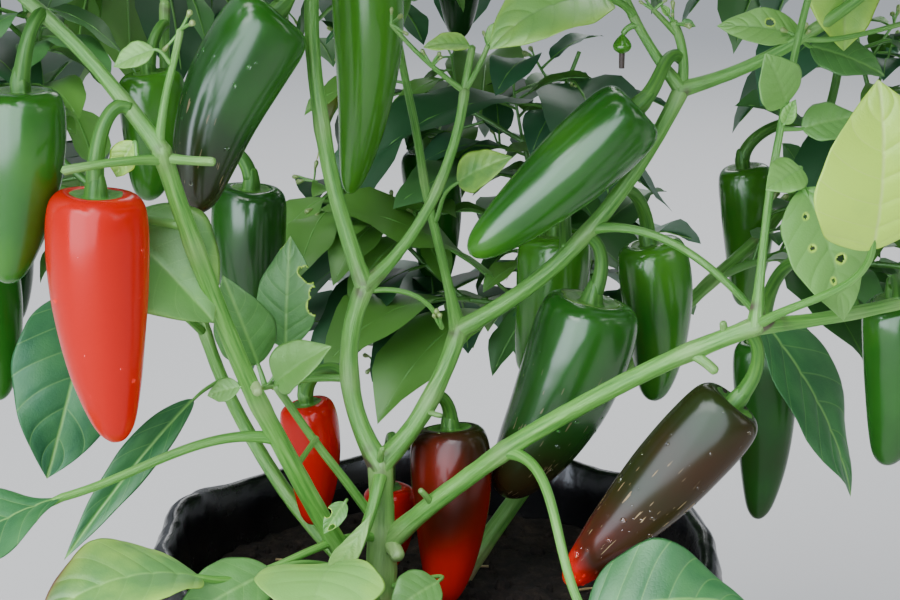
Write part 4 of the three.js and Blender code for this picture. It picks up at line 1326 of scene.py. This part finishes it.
def joined(name, grids, finish, nodes=(), slot=None):
    """Many grids of the same rows and columns as one piece."""
    grids = np.array(grids)
    count, rows, columns = grids.shape[:3]
    steps = np.arange(count)[:, None, None] * rows * columns
    faces = (grid_faces(rows, columns)[None] + steps).reshape(-1, 4)
    place(weld(raw_mesh(name, grids.reshape(-1, 3), faces)), [finish], nodes, slot)


def in_sprays(leaves, size):
    """A list of leaves cut into sprays of one size."""
    return [leaves[k : k + size] for k in range(0, len(leaves), size)]


by_shade = {shade: [] for shade in SHADES}
stalk_curves = []
draw = np.random.default_rng(77)
for mass, young in zip(grown, young_leaves):
    for spray in in_sprays(mass["leaves"], SPRAY) + in_sprays(young, YOUNG_SPRAY):
        odds = YOUNG_SHADE_ODDS if spray[0][1] < YOUNG_BELOW else SHADE_ODDS
        shade = draw.choice(list(SHADES), p=odds)
        for curve, size in spray:
            by_shade[shade].append(crown_blade(curve, size, int(draw.integers(1e6))))
            stalk_curves.append((curve, size))
foliage = list(MASSES)
for shade, sheets in by_shade.items():
    finish = plain_material("leaf_" + shade, SHADES[shade], 0.46)
    joined("crown_leaves_" + shade, sheets, finish, foliage, "foliage")
    print(shade, "leaves:", len(sheets))

# %% [markdown]
# ## Crown twigs
# Twigs and leaf stalks are slim tubes with a slight waver. They start inside the limb or twig that
# carries them, and a stalk runs on along its leaf as the midrib.

# %% Crown twigs
def slim_tube(path, radii, sides):
    """A closed tube along a path whose radius runs between two values and is nothing at the ends."""
    share = np.linspace(0, 1, len(path))
    radius = between(radii, share)
    radius[[0, -1]] = 0
    return tube(path, radius[:, None], sides)


def wavering(start, end, count, size, seed):
    """Points of a straight line pushed off it by slow waves that are nothing at its ends. The first
    two and the last two lie close together, so that the tube's ends are short."""
    share = np.concatenate([[0, 0.004], np.linspace(0.04, 0.96, count - 4), [0.997, 1]])
    line = start + (end - start) * share[:, None]
    return line + size * wander(line, 45, seed) * np.sin(math.pi * share)[:, None]


twig_green = plain_material("twig_green", (0.13, 0.37, 0.065), 0.45)
stalk_green = plain_material("stalk_green", (0.16, 0.43, 0.08), 0.45)
tubes = []
for order, mass in enumerate(grown):
    for k, (start, tip, heading, level) in enumerate(mass["twigs"]):
        path = wavering(start - heading * 1.5, tip, 12, 1.6, order * 50 + k)
        tubes.append(slim_tube(path, (TWIG_RADII[level] * 1.1, TWIG_RADII[level] * 0.8), 7))
for k, (foot, end) in enumerate(side_twigs):
    tubes.append(slim_tube(wavering(foot, end, 12, 0.8, 3000 + k), (0.75, 0.5), 7))
joined("crown_twigs", tubes, twig_green, foliage, "stem")
print("crown twigs:", len(tubes))

tubes = []
for curve, size in stalk_curves:
    thick = 0.5 + 0.006 * size
    path = along(curve, [0, 0.01, 0.13, 0.3, 0.5, 0.7, 0.9, 0.92])
    tubes.append(slim_tube(path, (thick, thick * 0.25), 5))
joined("crown_stalks", tubes, stalk_green, foliage, "stem")
print("crown stalks:", len(tubes))

# %% [markdown]
# ## Crown pods and buds
# Younger pods hang inside the crown on the same kind of stalk. At the ends of side twigs sit
# clusters of small closed buds on short bent stalks.

# %% Crown pods and buds
CROWN_POD_SHADES = {"green": (0.032, 0.18, 0.016), "dark": (0.012, 0.06, 0.012), "red": (0.6, 0.006, 0.002)}
SHADE_ROUND = ("green", "green", "dark", "green", "red", "green", "dark")
BUDS_TOGETHER = 3

bodies, stalks, caps = {shade: [] for shade in CROWN_POD_SHADES}, [], []
for order, mass in enumerate(grown):
    for k, (stem, body) in enumerate(mass["pods"]):
        seed = 700 + 10 * order + k
        shade = SHADE_ROUND[(2 * order + k) % len(SHADE_ROUND)]
        bodies[shade].append(pod_points(body, POD_WIDTH, 0.4, seed, 34, 28)[0])
        end_way = body[1] - body[0]
        path = hooked(stem[0], stem[1] - stem[0], body[0] - unit(end_way) * 2.5, end_way, 20)
        stalks.append(stalk_points(path, 1.7, seed, 12))
        caps.append(cap_points(body, POD_WIDTH, seed, 22, 24)[0])
for shade, colour in CROWN_POD_SHADES.items():
    finish = plain_material("young_pod_" + shade, colour, 0.2, 0.26)
    if bodies[shade]:
        joined("crown_pods_" + shade, bodies[shade], finish, foliage, "pod_green")
joined("crown_pod_stalks", stalks, stalk_green, foliage, "stem")
joined("crown_pod_caps", caps, stalk_green, foliage, "stem")


def bud_shape(foot, way, length, width):
    """A bud of 6 rows and 6 sides: a drop that is widest two thirds of the way up."""
    share = np.array([0, 0.05, 0.4, 0.7, 0.92, 1.0])
    radius = width / 2 * np.array([0, 0.5, 0.75, 1.0, 0.6, 0])
    return tube(foot + np.outer(share * length, way), radius[:, None], 6)


buds, bud_stalks = [], []
draw = np.random.default_rng(31)
for end, way in bud_places:
    for _ in range(BUDS_TOGETHER):
        lean = unit(way + draw.normal(size=3) * 0.5 + vec(0, 0, 0.25))
        head = end + lean * draw.uniform(3.5, 7)
        path = wavering(end - lean * 0.4, head, 8, 0.3, 5000 + len(buds))
        bud_stalks.append(slim_tube(path, (0.4, 0.5), 5))
        length, width = draw.uniform(2.4, 4.4), draw.uniform(1.6, 2.5)
        buds.append(bud_shape(head - lean * 0.3, unit(lean - vec(0, 0, 0.35)), length, width))
bud_green = plain_material("bud_green", (0.32, 0.46, 0.14), 0.45)
joined("crown_buds", buds, bud_green, foliage, "foliage")
joined("crown_bud_stalks", bud_stalks, stalk_green, foliage, "stem")
print("crown pods:", len(stalks), "buds:", len(buds))

# %% [markdown]
# ## Young growth on the boughs
# The open boughs carry side shoots, small leaves, buds and the stubs of stalks that were cut away.
# Each is given by the limb or shoot that carries it and the share of it where it starts, so that all
# of them are attached: a shoot by a point on its way and its tip, a leaf by its stalk and its blade.

# %% Young growth on the boughs
SHOOTS = table("on at way tip radii", {
    "shoot_twig": ("left_bough_top", 0.02, (3, 0, 16), (7, 4, 34), (1.5, 1.0)),
    "shoot_left": ("mid_left_bough", 0.5, (-15, 1, -1), (-29, -4, -2), (1.4, 1.1)),
    "shoot_low": ("trunk", 0.63, (-17, -3, 26), (-35, -5, 54), (1.9, 1.3)),
    "shoot_spur_left": ("mid_left_spur", 1, (-10, -1, 8), (-25, -1, 23), (1.1, 0.7)),
    "shoot_spur_middle": ("mid_left_spur", 1, (1, 0, 7), (2.5, -1, 15), (1.4, 1.1)),
    "shoot_spur_right": ("mid_left_spur", 1, (4, -1, 7), (8, -2, 16), (1.0, 0.8)),
    "stub_bridge": ("left_bough", 0.37, (3, 11, 1), (6, 22, 3), (1.0, 0.9)),
    "stub_left": ("left_bough", 0.99, (9, -3, 0), (15, -6, 0), (1.5, 1.2)),
    "stalk_cross": ("left_bough", 0.985, (-13, -9, 1.5), (-27, -14, 0), (1.5, 1.2)),
    "stub_knot": ("left_bough", 0.565, (1.5, -2, -1), (2.6, -4.4, -1.6), (1.7, 1.4), dict(pale=0.9)),
    "stub_right": ("right_bough", 0.85, (4, -3, -1.5), (7.6, -5, -4.2), (1.6, 1.4)),
    "stub_upper": ("right_bough", 0.93, (-0.2, -0.6, 2.4), (-0.6, -1, 4.8), (1.2, 1.0)),
    "stub_low": ("right_bough", 0.165, (-1, -2.5, 3), (-3.5, -5, 7), (1.3, 0.9)),
    "stub_scar": ("right_bough", 0.02, (2, -4, -1), (3.2, -6.6, -2.2), (2.7, 2.2), dict(pale=0.5)),
    "stub_fork": ("trunk", 0.985, (0, -4, 5), (1, -6, 9), (1.5, 0.9)),
    "stub_middle": ("mid_right_bough", 0.45, (2.5, -3, -0.5), (5.5, -4, -1), (1.0, 0.8)),
    "stalk_up": ("mid_right_fork", 0, (0.5, 2, 11), (-3, 3, 22), (1.9, 1.5)),
    "stalk_side": ("stalk_up", 0.8, (-4, -1, 4), (-9, -2, 9), (1.1, 0.8)),
    "stalk_right": ("mid_right_arm", 0.4, (14, -4, 1), (34, -4, 6), (1.0, 0.8)),
    "stalk_middle": ("mid_left_bough", 0.97, (18, 2, -2), (27, 4, -14), (1.0, 0.8)),
})
carriers = dict(limb_curves)
for seed, (name, shoot) in enumerate(SHOOTS.items()):
    root = along(carriers[shoot["on"]], shoot["at"])
    way, tip = vec(*shoot["way"]), vec(*shoot["tip"])
    carriers[name] = np.array([root, root + 2 * way - tip / 2, root + tip])
    pale = shoot.get("pale", 0.0)
    ribbed_stem(name, carriers[name], shoot["radii"], (0.97,), 800 + seed, sides=16, pale=pale)

# the light column is the same mix as on the large leaves: youth together with painted shade and painted
# light
SMALL_LEAVES = table("on at stalk blade width light", {
    "cream_tip": (
        "left_bough", 0.87, (-23, 12, -2), (30, -8, -30), 38, 0.5,
        dict(yellow=0.03, fold=0.5, face=(0.36, -0.87, 0.34)),
    ),
    "blue": ("shoot_left", 0.98, (-2.5, 3, 7), (-10, -9, 34), 21, 0.35),
    "bitten": ("shoot_left", 0.86, (3, 10, 10), (2, 8, 38), 21, 0.3),
    "folded": ("shoot_left", 0.8, (-1, -5, 2), (20, -10, 16), 17, 0.8, dict(fold=0.7)),
    "tiny": ("left_bough", 0.565, (-3, -2, -1), (-11, 3, -4), 8, 0.7),
    "withered": ("stalk_cross", 0.3, (-1, 3, 5), (-6, 1, -11), 9, 1.0, dict(yellow=0.35, fold=0.6)),
    "narrow": ("back_left_bough", 0.425, (-9, -14, -3), (-43, -40, -47), 14, 0.05, dict(fold=0.9)),
    "chewed": ("left_bough", 0.22, (6, -7, 13), (-7, -6, -9), 7, 0.5, dict(fold=0.6)),
    "low_left": ("left_bough", 0.12, (-25, -27, 11), (-31, -22, -10), 22, 0.4),
    "low_front": ("trunk", 0.3, (20, -21, 12), (-16, -14, -5), 17, 0.5, dict(wing=0.9)),
    "top_left": ("shoot_twig", 0.7, (-5, -1, 5), (-12, -1, -5), 8, 1.0, dict(fold=0.5)),
    "top_middle": (
        "shoot_spur_middle", 0.97, (-0.5, -1, 1), (-16, -2, 0), 10, 1.0,
        dict(yellow=0.2, fold=0.5, face=(0.1, -0.5, 0.85)),
    ),
    "spur": ("shoot_spur_right", 0.98, (0, -1, 1), (9, -3, 9), 7, 1.0, dict(fold=0.6)),
    "fork": ("mid_back_spur", 0.35, (8, -14, 18), (19, -8, 11), 15, 0.6, dict(yellow=0.16)),
    "round_right": (
        "right_bough_rise", 0.62, (0, -4, 2), (-8, -6, 17), 17, 0.8,
        dict(wing=0.6, fold=0.12),
    ),
    "bright_right": ("right_bough_rise", 0.44, (8, -5, 2), (-12, -8, -5), 13, 0.95, dict(fold=0.4)),
    "side_right": ("right_bough_rise", 0.56, (7, 1, 0), (19, 4, 3), 14, 0.65),
    "curl_right": ("right_bough_rise", 0.57, (1, -2, 1), (3, -1, 8), 5, 1.0, dict(fold=0.8)),
    "curl_up": ("stalk_up", 0.98, (-2, -1, 3), (-3, 0, 4), 3, 1.0, dict(fold=0.8)),
    "curl_side": ("stalk_up", 0.96, (2, -1, 1), (5, -1, -1), 3.5, 0.4, dict(fold=0.8)),
    "lime": ("mid_right_arm", 0.75, (-17, 8, 5), (3, -2, -35), 26, 1.0, dict(yellow=0.26)),
    "fresh": ("mid_right_arm", 0.4, (1, 4, 0), (-29, 4, 3), 15, 1.0, dict(face=(0, -0.7, 0.7))),
    "bluish": ("mid_right_arm", 0.4, (4, 8, -4), (26, -2, -10), 19, 0.35, dict(face=(0.2, -0.7, 0.7))),
})
stems = []
for k, (name, leaf) in enumerate(SMALL_LEAVES.items()):
    root = along(carriers[leaf["on"]], leaf["at"])
    base, blade = root + vec(*leaf["stalk"]), vec(*leaf["blade"])
    facing = vec(*leaf.get("face", (0, -0.8, 0.6)))
    bow = unit(facing - (facing @ unit(blade)) * unit(blade)) * 0.07 * np.linalg.norm(blade)
    curve = arc(base, blade, bow)
    looks = {key: leaf[key] for key in ("light", "yellow", "fold", "wing") if key in leaf}
    looks.update(wave=0.04 * leaf["width"], puff=0.3, thick=0.45, holes=HOLES.get(name, ()))
    looks.update(dict(rows=84, columns=45) if name in HOLES else dict(rows=40, columns=21))
    leaf_piece("young_blade_" + name, curve, leaf["width"], 620 + k, **looks)
    thick = 0.5 + 0.03 * leaf["width"]
    lead = hooked(root, base - root + vec(0, 0, 1), base + 0.04 * blade, blade, 12)
    under = along(curve, np.linspace(0.1, 0.7, 8)) - unit(bow) * (0.3 + 0.4 * thick)
    stems.append(slim_tube(np.vstack([lead, under]), (thick, 0.3), 8))
joined("young_stalks", stems, stalk_green, slot="stem")

BUD_SPOTS = (
    ("shoot_left", 0.97), ("shoot_spur_left", 1), ("shoot_spur_left", 0.42), ("shoot_spur_right", 1),
    ("mid_right_arm", 0.4), ("stalk_middle", 1), ("shoot_twig", 1), ("stalk_side", 1), ("stalk_up", 1),
)
draw = np.random.default_rng(63)
buds, bud_stalks = [], []
for on, at in BUD_SPOTS:
    spot = along(carriers[on], at)
    for _ in range(BUDS_TOGETHER):
        lean = unit(draw.normal(size=3) + vec(0, -0.4, 0.8))
        head = spot + lean * draw.uniform(3, 6)
        bud_stalks.append(slim_tube(wavering(spot, head, 8, 0.3, 9000 + len(buds)), (0.6, 0.5), 5))
        buds.append(bud_shape(head - lean * 0.4, lean, draw.uniform(2, 4), draw.uniform(1.3, 2.3)))
joined("young_buds", buds, bud_green, slot="stem")

hang, from_limb = vec(0, 0, -1), vec(-5.5, -1, -2)
fruit_top = along(limb_curves["mid_right_fork"], 0.36) + from_limb
lead = hooked(fruit_top - from_limb, vec(-1, -0.2, 1.2), fruit_top + hang, hang, 8)
bud_stalks.append(slim_tube(lead, (1.3, 1.1), 5))
joined("young_bud_stalks", bud_stalks, stalk_green, slot="stem")
share = (1 - np.cos(np.linspace(0, math.pi, 24))) / 2
plump = 3.2 * np.sin(math.pi * share[:, None] ** 1.5) ** 0.6
points = tube(fruit_top + np.outer(share * 7, hang), plump, 20)
unripe = np.zeros(points.shape[:2])
surface("young_fruit", points, pod_skin, fields={"ripe": unripe, "cork": unripe})
style_brown = plain_material("style_brown", (0.075, 0.045, 0.035), 0.7)
path = wavering(fruit_top + hang * 6, fruit_top + hang * 12, 8, 0.3, 9900)
joined("young_fruit_style", [slim_tube(path, (1.1, 0.9), 9)], style_brown, slot="stem")
print("shoots:", len(SHOOTS), "small leaves:", len(SMALL_LEAVES), "buds:", len(buds))

# %% [markdown]
# ## Water drops
# A drop on a waxy skin is a low dome with a steep edge. Each sits on a point of a pod's own grid, and
# stands along the skin's normal there.

# %% Water drops
water = plain_material("water", (1, 1, 1), 0.0)
shader = water.node_tree.nodes["Principled BSDF"]
shader.inputs["Transmission Weight"].default_value = 1.0
shader.inputs["IOR"].default_value = 1.33


def drop_points(centre, out, size, seed, rows=7, sides=12):
    """A drop: rings of radius r sin(a) at height 0.52 r cos(a), on a base sunk a little in the skin."""
    a = np.linspace(0, math.pi / 2, rows - 1)
    radius = np.concatenate([size * np.sin(a), [0]])
    height = np.concatenate([0.52 * size * np.cos(a), [-0.15]])
    side = unit(np.cross(out, vec(0.3, 0.2, 1)))
    up = np.cross(out, side)
    angle = full_turn(sides)
    wobble = 1 + 0.12 * np.cos(2 * angle + seed) + 0.05 * np.cos(3 * angle + 2 * seed)
    reach = (radius[:, None] * wobble[None])[..., None]
    return centre + height[:, None, None] * out + reach * round_of(angle, side, up)


def drops_on(name, count, span, largest, seed):
    """Drops on the part of a pod between two shares of its rows, on the side that faces the front."""
    points = pod_surfaces[name]
    down, round_it = np.gradient(points, axis=0), np.gradient(points, axis=1)
    out = unit(np.cross(round_it, down))
    inside = (out * (points - points.mean(axis=(0, 1)))).sum(-1).mean() < 0
    out = -out if inside else out
    draw = np.random.default_rng(seed)
    rows = draw.integers(int(span[0] * len(points)), int(span[1] * len(points)), 12 * count)
    columns = draw.integers(0, points.shape[1], 12 * count)
    facing = [(r, c) for r, c in zip(rows, columns) if out[r, c] @ vec(0, -0.95, 0.3) > 0.25]
    sizes = 0.35 + (largest - 0.35) * draw.random(count) ** 2.2
    chosen, kept = [], []
    for r, c in facing:
        crowded = any(np.linalg.norm(points[r, c] - other) <= 1.3 * largest for other in kept)
        if len(chosen) < count and not crowded:
            kept.append(points[r, c])
            chosen.append(drop_points(points[r, c], out[r, c], sizes[len(chosen)], r + c))
    return chosen


drops = (
    drops_on("right_turning", 34, (0.42, 0.9), 1.3, 1)
    + drops_on("right_turning", 10, (0.2, 0.45), 0.9, 2)
    + drops_on("middle_dark", 14, (0.3, 0.9), 1.1, 3)
    + drops_on("upper_dark", 16, (0.35, 0.9), 1.0, 4)
    + drops_on("left_red", 9, (0.35, 0.85), 1.0, 5)
)
joined("water_drops", drops, water)
print("drops:", len(drops))

# %% [markdown]
# ## The grow bag
# The bag is thin black film that the soil presses out. Film can't stretch, so it crumples into flat
# facets between sharp creases, and the top is rolled outwards into a soft collar. Ridged noise gives
# this: the absolute value of a smooth ripple has a crease wherever the ripple passes nothing.

# %% The grow bag
BAG_PROFILE = np.array([
    (0, 0), (60, 0), (88, 0.4), (93, 5), (95.5, 16), (97, 50), (98, 100), (97, 150), (96, 178),
    (97.5, 181.5), (101, 184), (103.2, 190), (103.4, 198), (102.6, 206), (100.4, 212), (97.6, 214.6),
    (95, 214), (93.2, 211), (92.6, 200), (92.8, 186), (93.4, 160), (92.6, 150), (60, 149), (0, 149),
])
BAG_ROWS, BAG_COLUMNS, BAG_RADIUS, COLLAR_FROM = 150, 480, 95, 178


def crumple(angle, height):
    """How far the film stands out: |ripple| of three sizes on a cylinder, with sharp creases."""
    spot = np.stack([BAG_RADIUS * np.cos(angle), BAG_RADIUS * np.sin(angle), height + 0 * angle], axis=-1)
    broad = np.abs(ripples(spot, 95, 11)) * 5.5 + ripples(spot, 150, 12) * 2.0
    middle = np.abs(ripples(spot * (1, 1, 0.8), 42, 13)) * 3.4
    fine = np.abs(ripples(spot * (1, 1, 0.7), 17, 14)) * 1.3
    return broad + middle + fine - 3.6


def solid_noise(tree, **values):
    """A noise texture that fills the space the piece stands in."""
    made = add_node(tree, "ShaderNodeTexNoise", **values)
    tree.links.new(add_node(tree, "ShaderNodeTexCoord").outputs["Object"], made.inputs["Vector"])
    return made.outputs["Fac"]


profile = smooth_outline(BAG_PROFILE[:, ::-1] * (0.01, 1), BAG_ROWS)[:, ::-1] * (1, 100)
radius, height = profile[:, :1], profile[:, 1:]
angle = full_turn(BAG_COLUMNS)[None]
angle[0, -1] = 0
stands = np.clip(radius / 90, 0, 1) ** 6 * np.clip(height / 12, 0, 1)
in_collar = np.clip((height - COLLAR_FROM) / 6, 0, 1) * np.clip(stands, 0, 1)
shift = crumple(angle + 0 * height, height + 0 * angle) * (1 - 0.45 * in_collar)
sag = in_collar * (3.2 * np.sin(2 * angle + 1) + 2.2 * np.sin(5 * angle) + 1.2 * np.sin(11 * angle + 2))
out = radius + stands * shift
z = np.clip(height + sag * 0.8, 0, None) + 0 * angle
points = np.stack([out * np.cos(angle), out * np.sin(angle), z], axis=-1)

film, tree = finish_of("black_film", 0.24)
dust = solid_noise(tree, Scale=26.0, Detail=6.0, Roughness=0.65)
dusty = ramp(tree, dust, [(0.45, (0.006, 0.006, 0.0075)), (0.72, (0.03, 0.027, 0.025))])
dulled = maths(tree, "ADD", maths(tree, "MULTIPLY", dust, 0.35), 0.08)
wrinkles = solid_noise(tree, Scale=120.0, Detail=5.0, Roughness=0.6)
feed(tree, dusty, bump(tree, wrinkles, 0.3, 0.0012), dulled)
surface("bag_film", points, film, ["grow_bag"], "film")
print("bag faces:", (BAG_ROWS - 1) * BAG_COLUMNS, "top at", round(float(points[..., 2].max()), 1), "mm")

# %% [markdown]
# ## Soil
# Potting soil is a lumpy dark surface with loose crumbs and a few straws on it. It meets the film all
# round and heaps up at the stems.

# %% Soil
SOIL_REACH, SOIL_FLOOR, SOIL_RINGS, SOIL_SIDES = 92.6, 168, 120, 360
SOIL_BROWNS = [(0.35, (0.008, 0.0055, 0.004)), (0.55, (0.03, 0.02, 0.013)), (0.75, (0.09, 0.062, 0.04))]
CRUMBS, CRUMB_REACH, STRAWS, STRAW_REACH = 420, 88, 16, 80


def soil_top(x, y):
    """The soil's height: its level, three sizes of lumps, and a heap round each stem."""
    flat = np.stack([x, y, 0 * x], axis=-1)
    lumps = 1.6 * ripples(flat, 34, 21) + 0.9 * ripples(flat, 11, 22) + 0.4 * np.abs(ripples(flat, 4.5, 23))
    heaps = 3.0 * np.exp(-((x + 19) ** 2 + (y + 21) ** 2) / 260)
    heaps = heaps + 2.0 * np.exp(-((x - 8) ** 2 + (y - 14) ** 2) / 140)
    return SOIL_LEVEL - 2.2 + lumps + heaps


def on_soil(spread, turn, above):
    """The point at a distance and a turn from the bag's middle, this far above the soil."""
    x, y = spread * math.cos(turn), spread * math.sin(turn)
    return vec(x, y, float(soil_top(np.array(x), np.array(y))) + above)


share = np.concatenate([np.linspace(0, 1, SOIL_RINGS), [1.0, 0.9, 0.0]])[:, None]
angle = full_turn(SOIL_SIDES)[None]
angle[0, -1] = 0
reach = share * (SOIL_REACH + crumple(angle, SOIL_LEVEL + 0 * angle) * 0.55)
x, y = reach * np.cos(angle), reach * np.sin(angle)
z = soil_top(x, y)
z[-3:] = SOIL_FLOOR
soil_dark, tree = finish_of("soil_dark", 0.95, 0.2)
grain = solid_noise(tree, Scale=180.0, Detail=8.0, Roughness=0.75)
feed(tree, ramp(tree, grain, SOIL_BROWNS), bump(tree, grain, 1.0, 0.003))
surface("soil_bed", np.stack([x, y, z], axis=-1), soil_dark, ["soil"], "soil")

draw = np.random.default_rng(5)
a, b = np.linspace(0, math.pi, 5)[:, None], full_turn(6)[None]
ball = np.stack([np.sin(a) * np.cos(b), np.sin(a) * np.sin(b), np.cos(a) + 0 * b], axis=-1)
crumbs = []
for _ in range(CRUMBS):
    spread, turn = CRUMB_REACH * math.sqrt(draw.random()), draw.uniform(0, 2 * math.pi)
    size = 0.6 + 2.2 * draw.random() ** 3
    squash = draw.uniform(0.6, 1.3, 3) * size
    bumpy = 1 + 0.25 * ripples(ball * 3, 5, int(draw.integers(1e6)))
    bumpy[:, -1] = bumpy[:, 0]
    crumbs.append(on_soil(spread, turn, 0.3 * size) + ball * bumpy[..., None] * squash)
joined("soil_crumbs", crumbs, soil_dark, ["soil"], "soil")

straw_pale = plain_material("straw_pale", (0.42, 0.3, 0.13), 0.6)
straws = []
for k in range(STRAWS):
    spread, turn = STRAW_REACH * math.sqrt(draw.random()), draw.uniform(0, 6.28)
    way = draw.uniform(0, 6.28)
    start = on_soil(spread, turn, 1.6)
    end = start + draw.uniform(7, 20) * vec(math.cos(way), math.sin(way), draw.uniform(-0.02, 0.1))
    end[:2] *= min(1, CRUMB_REACH / np.linalg.norm(end[:2]))
    straws.append(slim_tube(wavering(start, end, 9, 0.8, 7000 + k), (0.6, 0.45), 5))
joined("soil_straws", straws, straw_pale, ["soil"], "soil")
print("crumbs:", len(crumbs), "straws:", len(straws))
